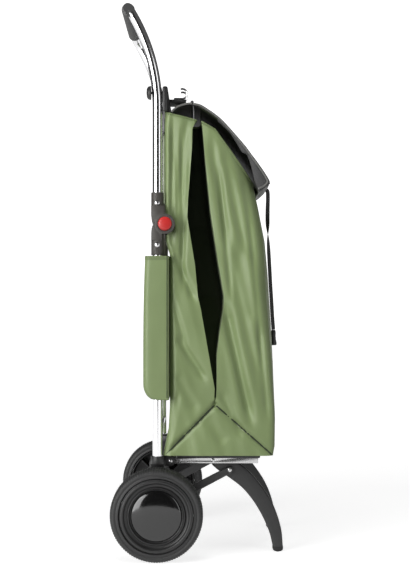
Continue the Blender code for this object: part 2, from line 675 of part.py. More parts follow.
def make_brace(label, side, parts, cutters):
    """A flat bar from the axle to the leg. Its rivet goes through the bar and stays clear of the leg."""
    axle, pivot = Vector((AXLE_X, WHEEL_R)), Vector(BRACE_PIVOT)
    heading = math.degrees(math.atan2(pivot.y - axle.y, pivot.x - axle.x))
    outline = arc(pivot, BRACE_HALF, heading - 90, heading + 90, 9)
    outline += arc(axle, BRACE_HALF + 0.003, heading + 125, heading + 235, 9)
    y0, y1 = span(side, *BRACE_Y)
    brace = slab(f"brace_{label}", outline, y0, y1, parts)
    bevel(brace, 0.001, 1, 60)
    bore_ends = (axle.x, -0.2, axle.y), (axle.x, 0.2, axle.y)
    cut(brace, rod(f"brace_axle_bore_{label}", AXLE_R + FIT, *bore_ends, cutters))
    x, z = BRACE_PIVOT
    cut(brace, rod(f"brace_rivet_bore_{label}", PIN_R + FIT, (x, -0.2, z), (x, 0.2, z), cutters, 12))
    paint(brace, BLACK, 0.45)
    make_pin(f"brace_rivet_{label}", side, BRACE_PIVOT, BRACE_Y[0] + 0.0005, BRACE_Y[1], parts)


# ---- soft parts ----
def make_pocket(parts, cutters):
    """Flat rear pocket sewn round both lower tubes, open at its top."""
    low = (POCKET_X[0], -POCKET_HALF, POCKET_Z[0])
    high = (POCKET_X[1], POCKET_HALF, POCKET_Z[1])
    pocket = box("rear_pocket", low, high, parts)
    wall = POCKET_WALL
    inner_low = (low[0] + wall, low[1] + wall, low[2] + wall)
    inner_high = (high[0] - wall, high[1] - wall, high[2] + 0.01)
    cut(pocket, box("pocket_inside", inner_low, inner_high, cutters))
    for label, side in SIDES:
        foot = (TUBE_X, side * TUBE_Y, POCKET_Z[0] - 0.01), (TUBE_X, side * TUBE_Y, POCKET_Z[0] + 0.01)
        cut(pocket, rod(f"pocket_tube_hole_{label}", TUBE_R + FIT, *foot, cutters, 20))
    paint(pocket, (0.29, 0.39, 0.20), 0.6)


def make_bag(parts, cutters):
    """Upright fabric bag, open at the top. Its front bellies out towards the bottom."""
    rear_top = 0.8000
    top = [(BAG_REAR_X, rear_top), (-0.002, 0.786), (0.035, 0.769), (0.101, 0.667)]
    front = [(0.108, 0.635), (0.119, 0.570), (0.1245, 0.460), (0.138, 0.250), (0.135, BAG_FLOOR_Z)]
    outline = top + front + [(BAG_REAR_X, BAG_FLOOR_Z)]
    bag = slab("bag_body", outline, -BAG_HALF, BAG_HALF, parts)
    bevel(bag, BAG_ROUND, 3, 60)
    mouth = [(BAG_REAR_X + BAG_WALL, 0.86), (0.098, 0.86)]
    front_in = [(x - BAG_WALL, z) for x, z in [(0.101, 0.667)] + front[:-1]]
    floor_z = BAG_FLOOR_Z + BAG_WALL
    floor = [(front[-1][0] - BAG_WALL, floor_z), (BAG_REAR_X + BAG_WALL, floor_z)]
    half = BAG_HALF - BAG_WALL
    hollow = slab("bag_inside", mouth + front_in + floor, -half, half, cutters)
    bevel(hollow, BAG_ROUND - BAG_WALL, 3, 60)
    cut(bag, hollow)
    paint(bag, (0.22, 0.29, 0.14), 0.6)
    rear = [(BAG_REAR_X, 0.8035), (-0.035, 0.8125), (LID_CREASE[0] - FIT, LID_CREASE[1])]
    under = offset_line(rear, LID_THICKNESS)
    under[-1] = (rear[-1][0], rear[-1][1] - LID_THICKNESS)
    root = slab("lid_root", rear + list(reversed(under)), -LID_HALF, LID_HALF, parts)
    paint(root, BLACK, 0.7)


def lid_line():
    """(x, z) points along the lid's upper side, from its crease to the turned-in front lip."""
    return [
        LID_CREASE, (0.0215, 0.807), (0.048, 0.786), (0.068, 0.764), (0.086, 0.743),
        (0.102, 0.721), (0.118, 0.700), (0.129, 0.678), (0.1275, 0.668), (0.120, 0.662), (0.111, 0.658),
    ]


def make_lid(parts):
    upper = lid_line()
    under = offset_line(upper, LID_THICKNESS)
    under[0] = (upper[0][0], upper[0][1] - LID_THICKNESS)
    lid = slab("bag_lid", upper + list(reversed(under)), -LID_HALF, LID_HALF, parts)
    paint(lid, BLACK, 0.7)


def strap_points():
    """Route of the closure strap, hanging free from the lid's front edge."""
    return [
        (0.1345, 0.0, 0.6690), (0.1350, 0.0, 0.6550), (0.1345, 0.001, 0.6350), (0.1345, 0.002, 0.6100),
        (0.1355, 0.003, 0.5800), (0.1370, 0.003, 0.5500), (0.1385, 0.002, 0.5200), (0.1400, 0.001, 0.4900),
        (0.1418, 0.0, 0.4600), (0.1435, 0.0, 0.4300), (0.1455, 0.0, 0.4030),
    ]


def make_strap(parts):
    points = strap_points()
    strap = wire("closure_strap", points, STRAP_WIDTH / 2, parts, 2)
    paint(strap, BLACK, 0.7)
    x, y, z = points[-1]
    length = STRAP_END_LENGTH
    profile = [
        (0, -FIT),
        (STRAP_END_R * 0.7, -FIT),
        (STRAP_END_R * 0.8, -length * 0.5),
        (STRAP_END_R, -length * 0.85),
        (STRAP_END_R, -length),
        (0, -length),
    ]
    tip = turned("strap_end", profile, (x, y, z), (0, 0, 1), parts, 20)
    paint(tip, BLACK, 0.3)


def main():
    clear_scene()
    parts = new_collection("shopping_trolley")
    cutters = new_collection("cutters")
    for label, side in SIDES:
        make_wheel(label, side, parts)
    make_axle(parts)
    make_lower_frame(parts, cutters)
    make_handle(parts, cutters)
    make_hanger(parts, cutters)
    make_platform(parts, cutters)
    make_legs(parts, cutters)
    make_pocket(parts, cutters)
    make_bag(parts, cutters)
    make_lid(parts)
    make_strap(parts)


main()
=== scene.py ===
"""Looks of a folding two-wheeled shopping trolley with a green fabric bag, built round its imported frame."""

import json
import math

import bmesh
import bpy
import numpy as np
from mathutils import Matrix, Vector, noise

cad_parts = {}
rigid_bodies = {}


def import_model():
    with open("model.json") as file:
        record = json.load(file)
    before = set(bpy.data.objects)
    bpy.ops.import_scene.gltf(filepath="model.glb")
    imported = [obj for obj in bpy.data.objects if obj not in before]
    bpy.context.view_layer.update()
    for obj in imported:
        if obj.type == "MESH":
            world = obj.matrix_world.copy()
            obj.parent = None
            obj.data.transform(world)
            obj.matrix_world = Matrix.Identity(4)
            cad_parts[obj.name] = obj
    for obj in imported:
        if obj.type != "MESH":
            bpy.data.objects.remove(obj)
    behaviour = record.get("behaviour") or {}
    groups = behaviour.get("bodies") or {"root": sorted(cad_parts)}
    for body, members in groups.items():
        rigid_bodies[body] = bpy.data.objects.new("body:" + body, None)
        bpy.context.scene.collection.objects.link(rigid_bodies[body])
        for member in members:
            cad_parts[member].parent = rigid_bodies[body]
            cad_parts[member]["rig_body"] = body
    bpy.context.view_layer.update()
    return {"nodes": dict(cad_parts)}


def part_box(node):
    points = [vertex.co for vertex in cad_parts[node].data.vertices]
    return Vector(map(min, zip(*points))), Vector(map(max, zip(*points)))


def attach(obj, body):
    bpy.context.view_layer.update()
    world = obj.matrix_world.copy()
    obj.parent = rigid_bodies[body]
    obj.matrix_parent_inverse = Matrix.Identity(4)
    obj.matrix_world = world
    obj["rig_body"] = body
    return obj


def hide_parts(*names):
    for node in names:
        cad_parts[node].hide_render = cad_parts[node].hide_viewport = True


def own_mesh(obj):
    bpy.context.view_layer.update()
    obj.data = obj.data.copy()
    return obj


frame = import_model()

# ---- Studio ----
# A level camera at half the trolley's height, a pale seamless floor, and large soft lights.
# A dark card behind the camera gives the polished tubes their dark middle line.
scene = bpy.context.scene
scene.view_settings.view_transform = "Standard"

eye = bpy.data.cameras.new("camera")
eye.lens = 72.6
eye.sensor_width = 36.0
VIEW_TALL = 570    # the view's height, which the two shifts are shares of
eye.shift_x = 7 / VIEW_TALL
eye.shift_y = -4 / VIEW_TALL
camera = bpy.data.objects.new("camera", eye)
camera.location = (0.0, -2.22, 0.497)
camera.rotation_euler = (math.radians(90), 0, 0)
scene.collection.objects.link(camera)
scene.camera = camera


def linear(code):
    """An sRGB hex colour as linear red, green, blue and alpha."""
    parts = [int(code[i:i + 2], 16) / 255 for i in (0, 2, 4)]
    return (*[c / 12.92 if c <= 0.04045 else ((c + 0.055) / 1.055) ** 2.4 for c in parts], 1.0)


def finish_of(name, colour, roughness, metallic=0.0):
    """A new material with a plain shader, and that shader."""
    material = bpy.data.materials.new(name)
    material.use_nodes = True
    shader = material.node_tree.nodes["Principled BSDF"]
    shader.inputs["Base Color"].default_value = linear(colour)
    shader.inputs["Roughness"].default_value = roughness
    shader.inputs["Metallic"].default_value = metallic
    return material, shader


def add_node(material, kind, links=(), **settings):
    """Adds a node with its settings and its links, each (input, socket) or (output, node, input)."""
    node = material.node_tree.nodes.new(kind)
    for key, value in settings.items():
        if hasattr(node, key):
            setattr(node, key, value)
        else:
            node.inputs[key.replace("_", " ")].default_value = value
    for link in links:
        if len(link) == 2:
            material.node_tree.links.new(link[1], node.inputs[link[0]])
        else:
            material.node_tree.links.new(node.outputs[link[0]], link[1].inputs[link[2]])
    return node


def soft_light(name, place, target, size, power):
    """A white rectangular light at a place, aimed at a target."""
    data = bpy.data.lights.new(name, "AREA")
    data.shape = "RECTANGLE"
    data.size, data.size_y = size
    data.energy = power
    lamp = bpy.data.objects.new(name, data)
    lamp.location = place
    aim = Vector(target) - Vector(place)
    lamp.rotation_euler = aim.to_track_quat("-Z", "Y").to_euler()
    scene.collection.objects.link(lamp)
    return lamp


soft_light("key_light", (-1.9, -1.9, 1.0), (0, 0, 0.45), (1.4, 2.1), 54)
soft_light("fill_light", (2.2, -1.9, 1.0), (0, 0, 0.45), (1.0, 2.2), 11)
top_light = soft_light("top_light", (-0.3, -0.9, 2.8), (0, 0, 0.4), (1.4, 1.2), 26)
world = bpy.data.worlds.new("studio")
world.use_nodes = True
world.node_tree.nodes["Background"].inputs["Color"].default_value = (1, 1, 1, 1)
world.node_tree.nodes["Background"].inputs["Strength"].default_value = 0.09
scene.world = world


def hide_from(piece, *rays):
    """Takes a part of the studio out of the named kinds of ray."""
    for ray in rays:
        setattr(piece, "visible_" + ray, False)


def stage_plane(name, corners, colour, glow, roughness=0.6):
    """A flat piece of the studio. glow is the light it gives off."""
    mesh = bpy.data.meshes.new(name)
    mesh.from_pydata(corners, [], [tuple(range(len(corners)))])
    piece = bpy.data.objects.new(name, mesh)
    scene.collection.objects.link(piece)
    paint, shader = finish_of(name + "_paint", colour, roughness)
    shader.inputs["Emission Color"].default_value = (1, 1, 1, 1)
    shader.inputs["Emission Strength"].default_value = glow
    mesh.materials.append(paint)
    return piece


floor = stage_plane("studio_floor", [(-8, -8, 0), (8, -8, 0), (8, 8, 0), (-8, 8, 0)], "b9b9b9", 0.84, 0.9)
hide_from(top_light, "glossy")
hide_from(floor, "diffuse")
# The floor glows more away from the trolley, so that it meets the backdrop unseen.
floor_paint = floor.data.materials[0]
floor_shader = floor_paint.node_tree.nodes["Principled BSDF"]
spot = add_node(floor_paint, "ShaderNodeTexCoord").outputs["Object"]
reach = add_node(floor_paint, "ShaderNodeVectorMath", [("Vector", spot)], operation="LENGTH")
add_node(floor_paint, "ShaderNodeMapRange",
         [("Value", reach.outputs["Value"]), ("Result", floor_shader, "Emission Strength")],
         From_Min=0.7, From_Max=2.4, To_Min=0.80, To_Max=1.02)
card = stage_plane("dark_card", [(-0.8, -2.6, -0.6), (0.8, -2.6, -0.6), (0.8, -2.6, 5.0), (-0.8, -2.6, 5.0)],
                   "020202", 0.0)
hide_from(card, "camera", "diffuse", "shadow", "transmission")
# A bright card on the left shows only in gloss, as a highlight down the left of each rounded piece.
glow_card = stage_plane("left_glow_card", [(-1.7, -2.1, 0.0), (-0.95, -2.45, 0.0), (-0.95, -2.45, 1.5),
                                           (-1.7, -2.1, 1.5)], "000000", 5.0)
hide_from(glow_card, "camera", "diffuse", "shadow")
bpy.ops.mesh.primitive_uv_sphere_add(segments=48, ring_count=24, radius=7.5)
sky = bpy.context.object
sky.name = "white_backdrop"
sky_paint, sky_shader = finish_of("white_backdrop_paint", "ffffff", 1.0)
sky_shader.inputs["Emission Color"].default_value = (1, 1, 1, 1)
sky_shader.inputs["Emission Strength"].default_value = 1.1
sky.data.materials.append(sky_paint)
hide_from(sky, "diffuse", "glossy", "shadow")


# ---- Closure strap ----
# Flat woven tape, 8 mm wide, that hangs free from the lid's front edge with one lazy twist in it.
# Its end is a small moulded bell that keeps the tape from fraying.
STRAP_ROUTE = [
    (0.1285, 0.0, 0.6735), (0.1325, 0.0, 0.6722), (0.1345, 0.0, 0.6690), (0.1350, 0.0, 0.6550),
    (0.1345, 0.001, 0.6350), (0.1345, 0.002, 0.6100), (0.1355, 0.003, 0.5800), (0.1370, 0.003, 0.5500),
    (0.1385, 0.002, 0.5200), (0.1400, 0.001, 0.4900), (0.1418, 0.0, 0.4600), (0.1435, 0.0, 0.4300),
    (0.1455, 0.0, 0.4030),
]
STRAP_WIDTH = 0.008
STRAP_THICKNESS = 0.0014


def new_piece(name, verts, faces, material=None, angle=40):
    """A mesh object at the origin from its points and faces."""
    mesh = bpy.data.meshes.new(name)
    mesh.from_pydata([tuple(v) for v in verts], [], [tuple(f) for f in faces])
    mesh.validate()
    piece = bpy.data.objects.new(name, mesh)
    scene.collection.objects.link(piece)
    if material:
        mesh.materials.append(material)
    mesh.shade_smooth()
    mesh.set_sharp_from_angle(angle=math.radians(angle))
    return piece


def smooth_route(points, steps):
    """Points along a Catmull-Rom curve through the given ones."""
    p = [Vector(q) for q in points]
    p = [2 * p[0] - p[1]] + p + [2 * p[-1] - p[-2]]
    found = []
    for i in range(1, len(p) - 2):
        for k in range(steps):
            t = k / steps
            a, b, c, d = p[i - 1:i + 3]
            found.append(0.5 * (2 * b + (c - a) * t + (2 * a - 5 * b + 4 * c - d) * t * t
                                + (3 * b - a - 3 * c + d) * t ** 3))
    return found + [p[-2]]


def grid_faces(rows, columns, closed=False, looped=True):
    """Quads over rows of points. closed joins the last row to the first, and looped joins up each row."""
    faces = []
    for i in range(rows if closed else rows - 1):
        here, there = i * columns, (i + 1) % rows * columns
        for k in range(columns if looped else columns - 1):
            m = (k + 1) % columns
            faces.append((here + k, here + m, there + m, there + k))
    return faces


def swept(name, route, outline_at, material, closed=False, angle=50):
    """Sweeps an outline of (side, normal) offsets along a route. outline_at takes the share of the way."""
    count = len(route)
    verts, side = [], None
    for i, place in enumerate(route):
        ahead = route[(i + 1) % count] if closed else route[min(i + 1, count - 1)]
        behind = route[i - 1] if closed or i else route[0]
        run = (ahead - behind).normalized()
        side = Vector((0, 1, 0)) if side is None else side
        across = side - run * side.dot(run)
        side = across.normalized() if across.length > 1e-6 else run.orthogonal()
        up = run.cross(side)
        outline = outline_at(i / (count - 1))
        verts += [place + side * a + up * b for a, b in outline]
    n = len(outline)
    faces = grid_faces(count, n, closed)
    if not closed:
        faces += [tuple(range(n))[::-1], tuple((count - 1) * n + j for j in range(n))]
    piece = new_piece(name, verts, faces, material, angle)
    outward(piece)
    return piece


def outward(piece):
    """Turns every face of a piece outwards."""
    bm = bmesh.new()
    bm.from_mesh(piece.data)
    bmesh.ops.recalc_face_normals(bm, faces=bm.faces)
    bm.to_mesh(piece.data)
    bm.free()


def woven(name, colour, thread_mm, roughness, bump, sheen=0.0, shade=0.0, coat=0.0):
    """Plain-weave cloth. Two crossed wave bands raise the threads, and a slow noise varies the dye.

    A real thread is about 0.3 mm wide, so threads are drawn coarser to show at all."""
    material, shader = finish_of(name, colour, roughness)
    shader.inputs["Sheen Weight"].default_value = sheen
    shader.inputs["Coat Weight"].default_value = coat
    shader.inputs["Coat Roughness"].default_value = 0.45
    place = add_node(material, "ShaderNodeTexCoord").outputs["Object"]
    scale = 1000 / thread_mm / 6.28    # each wave spans two threads, one up and one down
    threads = [
        add_node(material, "ShaderNodeTexWave", [("Vector", place)], bands_direction=way, Scale=scale,
                 Distortion=0.6, Detail=1.0)
        for way in ("Z", "DIAGONAL")
    ]
    cross = add_node(material, "ShaderNodeMath",
                     [(0, threads[0].outputs["Fac"]), (1, threads[1].outputs["Fac"])], operation="MULTIPLY")
    add_node(material, "ShaderNodeBump", [("Height", cross.outputs[0]), ("Normal", shader, "Normal")],
             Strength=bump, Distance=0.0003)
    if shade:
        mottle = add_node(material, "ShaderNodeTexNoise", [("Vector", place)], Scale=9.0, Detail=4.0)
        ramp = add_node(material, "ShaderNodeValToRGB",
                        [("Fac", mottle.outputs["Fac"]), ("Color", shader, "Base Color")])
        base = linear(colour)
        ramp.color_ramp.elements[0].position = 0.3
        ramp.color_ramp.elements[1].position = 0.7
        ramp.color_ramp.elements[0].color = (*[c * (1 - shade) for c in base[:3]], 1)
        ramp.color_ramp.elements[1].color = (*[c * (1 + shade) for c in base[:3]], 1)
    return material


# Woven polyester tape: matt, with a faint sheen along its threads.
tape_cloth = woven("woven_polyester_tape", "232323", 0.9, 0.7, 0.5, sheen=0.2)


def tape_outline(share):
    """The tape's section. It makes one slow half turn a little before the middle of the way."""
    turn = math.pi * (1 / (1 + math.exp(-(share - 0.45) * 26))) * 0.98 + math.radians(62)
    a, b = STRAP_WIDTH / 2, STRAP_THICKNESS / 2
    corners = [(-a, -b), (a, -b), (a, b), (-a, b)]
    cos, sin = math.cos(turn), math.sin(turn)
    return [(x * cos - y * sin, x * sin + y * cos) for x, y in corners]


strap_path = smooth_route(STRAP_ROUTE, 6)
strap = swept("closure_tape", strap_path, tape_outline, tape_cloth, angle=30)
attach(strap, "strap")
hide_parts("closure_strap")


def spun(name, profile, centre, axis, material, steps=48, angle=40):
    """A profile of (radius, height) turned about axis through centre. It closes where the radius is 0."""
    turn = Vector(axis).to_track_quat("Z", "Y").to_matrix()
    verts, rings = [], []
    for r, h in profile:
        if r < 1e-6:
            rings.append([len(verts)])
            verts.append(turn @ Vector((0, 0, h)) + Vector(centre))
            continue
        rings.append(list(range(len(verts), len(verts) + steps)))
        for k in range(steps):
            a = math.tau * k / steps
            verts.append(turn @ Vector((r * math.cos(a), r * math.sin(a), h)) + Vector(centre))
    faces = []
    closed = len(rings[0]) > 1 and len(rings[-1]) > 1
    for a, b in zip(rings, rings[1:] + (rings[:1] if closed else [])):
        for k in range(steps):
            m = (k + 1) % steps
            corners = [a[k % len(a)], a[m % len(a)], b[m % len(b)], b[k % len(b)]]
            faces.append(list(dict.fromkeys(corners)))
    piece = new_piece(name, verts, [f for f in faces if len(f) > 2], material, angle)
    outward(piece)
    return piece


def moulded(name, colour, roughness, grain_mm=0.8, bump=0.25, coat=0.0):
    """Injection-moulded polymer with a spark-eroded grain and a slightly uneven gloss."""
    material, shader = finish_of(name, colour, roughness)
    shader.inputs["Coat Weight"].default_value = coat
    shader.inputs["Coat Roughness"].default_value = 0.08
    place = add_node(material, "ShaderNodeTexCoord").outputs["Object"]
    grain = add_node(material, "ShaderNodeTexNoise", [("Vector", place)], Scale=1000 / grain_mm, Detail=3.0)
    add_node(material, "ShaderNodeBump", [("Height", grain.outputs["Fac"]), ("Normal", shader, "Normal")],
             Strength=bump, Distance=0.0002)
    patches = add_node(material, "ShaderNodeTexNoise", [("Vector", place)], Scale=28.0, Detail=5.0)
    add_node(material, "ShaderNodeMapRange",
             [("Value", patches.outputs["Fac"]), ("Result", shader, "Roughness")],
             To_Min=roughness - 0.06, To_Max=roughness + 0.08)
    return material


# Polypropylene from a spark-eroded mould: a soft gloss that varies a little.
satin_black = moulded("black_polypropylene", "2a2a2a", 0.42)
bell_low, bell_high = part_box("strap_end")
bell_middle = (bell_low + bell_high) / 2
bell_top = bell_high.z
bell = spun("strap_bell", [
    (0, 0), (0.0034, -0.0002), (0.0044, -0.0015), (0.0048, -0.006), (0.0046, -0.012), (0.0052, -0.019),
    (0.0061, -0.024), (0.0064, -0.0265), (0.0062, -0.0285), (0.005, -0.0296), (0.0030, -0.0288), (0, -0.0284),
], (bell_middle.x, bell_middle.y, bell_top), (0, 0, 1), satin_black, 32, 60)
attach(bell, "strap")
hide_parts("strap_end")


# ---- Bag ----
# Coated green polyester sewn like a paper sack: a deep pleat falls into each side, and a triangle closes each
# side's foot. The walls are lofted from level sections, then creased where the cloth hangs in folds.
bag_low, bag_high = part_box("bag_body")
BAG_HALF = bag_high.y
FOOT_Z = bag_low.z + 0.0006
CLOTH = 0.0012           # thickness of the coated cloth
REAR_CORNER = 0.008      # how far each rear corner of the bag is rounded
FRONT_CORNER = 0.62      # how deep each front corner is, as a share of its length
PLEAT_BACK = (0.34, 0.58)    # shares of the pleat's cloth where its back starts and ends
APEX = (0.0305, 0.2743)
TRIANGLE = ((-0.0600, FOOT_Z), APEX, (0.1350, FOOT_Z))
REAR_LINE = [
    (FOOT_Z, -0.0630), (0.196, -0.0600), (0.230, -0.0530), (0.270, -0.0508), (0.545, -0.0508),
    (0.570, -0.0596), (0.780, -0.0604), (0.803, -0.0585),
]
FRONT_LINE = [
    (FOOT_Z, 0.1350), (0.200, 0.1382), (0.250, 0.1390), (0.340, 0.1345), (0.460, 0.1252), (0.570, 0.1185),
    (0.635, 0.1080), (0.670, 0.1005), (0.770, 0.0700), (0.80, 0.058),
]
PLEAT_REAR = [
    (FOOT_Z, 0.0180), (0.2743, 0.0285), (0.3031, 0.0300), (0.3641, 0.0195), (0.4036, 0.0126),
    (0.4449, 0.0054), (0.4683, 0.0), (0.5257, -0.0054), (0.5706, -0.0126), (0.6119, -0.0192),
    (0.6425, -0.0180), (0.7376, -0.0108), (0.7717, -0.0100), (0.788, -0.0020), (0.80, 0.0),
]
PLEAT_FRONT = [
    (FOOT_Z, 0.0430), (0.2743, 0.0325), (0.3031, 0.0335), (0.3641, 0.0340), (0.4036, 0.0390),
    (0.4449, 0.0460), (0.4683, 0.0470), (0.5329, 0.0359), (0.6209, 0.0225), (0.7125, 0.0130),
    (0.7825, 0.0070), (0.80, 0.0065),
]
PLEAT_DEPTH = [
    (0.2743, 0.0), (0.3031, 0.010), (0.3641, 0.034), (0.4036, 0.058), (0.4683, 0.088), (0.60, 0.105),
    (0.72, 0.100), (0.80, 0.090),
]
CORNER_ROUND = [(FOOT_Z, 0.010), (0.30, 0.016), (0.50, 0.026), (0.65, 0.045), (0.72, 0.062), (0.80, 0.070)]
TOP_LINE = [
    (-0.0590, 0.8000), (-0.002, 0.7860), (0.0065, 0.7830), (0.035, 0.7690), (0.060, 0.7330),
    (0.101, 0.6680), (0.14, 0.62),
]
# Creases in the side wall: start and end as (x, z), depth, and half-width.
FOLDS = [
    ((0.047, 0.460), (0.097, 0.2366), 0.0085, 0.0085), ((0.0575, 0.5450), (0.1120, 0.3000), 0.0030, 0.0090),
    ((-0.043, 0.548), (-0.005, 0.460), 0.0042, 0.0060), ((-0.040, 0.400), (0.014, 0.318), 0.0045, 0.0060),
    ((-0.042, 0.330), (0.000, 0.262), 0.0022, 0.0080), ((-0.020, 0.790), (-0.030, 0.640), 0.0034, 0.0070),
    ((-0.041, 0.780), (-0.036, 0.600), 0.0026, 0.0050), ((0.024, 0.760), (0.056, 0.560), 0.0040, 0.0080),
    ((0.046, 0.740), (0.088, 0.540), 0.0040, 0.0095), ((0.068, 0.560), (0.100, 0.420), 0.0028, 0.0100),
    ((-0.046, 0.790), (-0.047, 0.560), 0.0040, 0.0042), ((-0.030, 0.770), (-0.027, 0.480), 0.0030, 0.0045),
    ((-0.012, 0.750), (-0.030, 0.520), 0.0020, 0.0050), ((0.082, 0.690), (0.105, 0.520), 0.0045, 0.0080),
    ((0.038, 0.700), (0.060, 0.460), 0.0030, 0.0045), ((-0.048, 0.470), (-0.022, 0.380), 0.0030, 0.0050),
    ((0.110, 0.420), (0.126, 0.250), 0.0030, 0.0070), ((0.040, 0.300), (0.080, 0.215), 0.0030, 0.0060),
    ((0.090, 0.640), (0.118, 0.330), 0.0022, 0.0050), ((-0.036, 0.300), (-0.052, 0.210), 0.0024, 0.0055),
    ((0.012, 0.252), (0.050, 0.205), 0.0022, 0.0100),
]


def along(line, value):
    """The second number of a table of pairs, at a value of the first."""
    return float(np.interp(value, [p[0] for p in line], [p[1] for p in line]))


def to_line(x, z, start, end):
    """Distance from (x, z) to a stretch, and how far along it, from 0 to 1."""
    ax, az = end[0] - start[0], end[1] - start[1]
    t = max(0.0, min(1.0, ((x - start[0]) * ax + (z - start[1]) * az) / (ax * ax + az * az)))
    return math.hypot(x - start[0] - t * ax, z - start[1] - t * az), t


def eased(t):
    """A share from 0 to 1 that starts and ends gently."""
    return t * t * (3 - 2 * t)


def side_inset(x, z):
    """How far the side wall lies inside the bag's half width, apart from its pleat."""
    share = min(max((z - FOOT_Z) / (APEX[1] - FOOT_Z), 0), 1)
    inset = 0.0
    for start, end, depth, width in FOLDS:
        away, t = to_line(x, z, start, end)
        ends = min(1.0, 6 * t + 0.15, 6 * (1 - t) + 0.15)
        inset += 1.25 * depth * math.exp(-(away / width) ** 2) * ends
    for start, end in (TRIANGLE[:2], TRIANGLE[1:]):
        away, _ = to_line(x, z, start, end)
        inset += 0.0034 * math.exp(-(away / 0.0040) ** 2)
    left, right = TRIANGLE[0][0], TRIANGLE[2][0]
    inside = left + share * (APEX[0] - left) < x < right + share * (APEX[0] - right) and z < APEX[1]
    fade = max(0.0, 1 - abs(z - APEX[1]) / 0.07)
    inset += 0.005 * share if inside else 0.004 * math.exp(-((x - APEX[0]) / 0.03) ** 2) * eased(fade)
    wave = noise.noise(Vector((x * 24 + z * 5, z * 9, 3.1))) * 0.0034
    wave += noise.noise(Vector((x * 62 + z * 14, z * 17, 7.7))) * 0.0011
    return inset + wave


TUCKED = range(40, 62)    # the columns of cloth inside the pleat


def top_x(kind, t):
    """Where along the bag's top edge a column ends."""
    rear, crease_r, crease_f, front = -0.0590, 0.0, 0.0065, 0.1000
    return {
        "rear": rear, "side": rear + (crease_r - rear) * t, "pleat": crease_r + (crease_f - crease_r) * t,
        "front": crease_f + (front - crease_f) * t, "face": front,
    }[kind]


def bag_ring(v):
    """One ring of the near side of the bag, from the middle of its rear to the middle of its front."""
    columns = []
    rear_n, side_n, pleat_n, front_n, face_n = 10, 30, 30, 40, 16

    def level(kind, t):
        return FOOT_Z + v * (along(TOP_LINE, top_x(kind, t)) - FOOT_Z)

    for i in range(rear_n):
        t = i / rear_n
        z = level("rear", t)
        sag = 0.0035 * math.sin(math.pi * t) * math.sin(math.pi * v)
        columns.append((along(REAR_LINE, z) + sag, -t * (BAG_HALF - REAR_CORNER), z))
    for i in range(side_n):
        t = i / (side_n - 1)
        z = level("side", t)
        x0, x1 = along(REAR_LINE, z), along(PLEAT_REAR, z)
        x = x0 + (x1 - x0) * t
        corner = REAR_CORNER * max(0.0, 1 - t * 6) ** 2
        columns.append((x, -(BAG_HALF - corner - side_inset(x, z) * min(1, t * 5)), z))
    for i in range(1, pleat_n):
        t = i / pleat_n
        z = level("pleat", t)
        xs, xf, depth = along(PLEAT_REAR, z), along(PLEAT_FRONT, z), along(PLEAT_DEPTH, z)
        tuck = 0.012 * min(1, depth / 0.03)
        if t < PLEAT_BACK[0]:
            k = t / PLEAT_BACK[0]
            x = xs - tuck * eased(k)
            y_in = depth * k ** 0.8
        elif t < PLEAT_BACK[1]:
            k = (t - PLEAT_BACK[0]) / (PLEAT_BACK[1] - PLEAT_BACK[0])
            x = xs - tuck + (xf - xs + tuck * 0.4) * eased(k)
            y_in = depth * (1 - 0.06 * k)
        else:
            k = (t - PLEAT_BACK[1]) / (1 - PLEAT_BACK[1])
            x = xf - tuck * 0.6 * (1 - k) ** 3
            y_in = depth * 0.94 * (1 - k ** 1.5)
        x += (xs + (xf - xs) * t - x) * (1 - min(1, depth / 0.012))
        columns.append((x, -(BAG_HALF - y_in - side_inset(x, z)), z))
    for i in range(front_n):
        t = i / front_n
        z = level("front", t)
        x0 = along(PLEAT_FRONT, z)
        x1 = along(FRONT_LINE, z)
        r = along(CORNER_ROUND, z)
        x = x0 + (x1 - x0) * (1 - (1 - t) ** 1.25)
        near = max(0.0, (x - (x1 - r)) / r)
        corner = r * FRONT_CORNER * (1 - math.sqrt(max(0.0, 1 - near ** 2)))
        bulge = 0.004 * math.sin(math.pi * t) * eased(min(1, (z - FOOT_Z) / 0.2))
        columns.append((x, -(BAG_HALF + bulge - corner - side_inset(x, z) * (1 - near)), z))
    for i in range(face_n + 1):
        t = i / face_n
        z = level("face", t)
        x1 = along(FRONT_LINE, z)
        start = BAG_HALF - along(CORNER_ROUND, z) * FRONT_CORNER
        crown = 0.010 * math.sin(0.5 * math.pi * t) * math.sin(math.pi * min(1, max(0.0, v))) ** 0.7
        ripple = noise.noise(Vector((t * 3.0, z * 8, 1.3))) * 0.0025 * math.sin(math.pi * min(1, t * 1.2))
        columns.append((x1 + min(crown + ripple, 0.008), -start * (1 - t), z))
    return columns


def loft_bag():
    """The bag's walls, as rings from foot to mouth with the far side mirrored, and its floor."""
    rows = 180
    rings = []
    for j in range(rows + 1):
        near = bag_ring(j / rows)
        far = [(x, -y, z) for x, y, z in reversed(near[1:-1])]
        rings.append(near + far)
    n = len(rings[0])
    verts = [p for r in rings for p in r]
    faces = grid_faces(rows + 1, n)
    for i in range(1, n // 2):
        a, b, c, d = i - 1, i, (n - i) % n, (n - i + 1) % n
        corners = list(dict.fromkeys([d, c, b, a]))
        if len(corners) > 2:
            faces.append(tuple(corners))
    return verts, faces, rings


def wall(piece, thickness, offset=-1.0):
    """Gives an open sheet its thickness."""
    solid = piece.modifiers.new("wall", "SOLIDIFY")
    solid.thickness = thickness
    solid.offset = offset
    solid.use_even_offset = False
    bpy.context.view_layer.objects.active = piece
    bpy.ops.object.modifier_apply(modifier=solid.name)


# The cloth inside the pleat is the green painted nearly black, as painted shade for the deep pleat. It is
# uncoated, so it stays dull.
pleat_shade_cloth = woven("pleat_painted_shade", "222b17", 0.9, 0.75, 0.2)
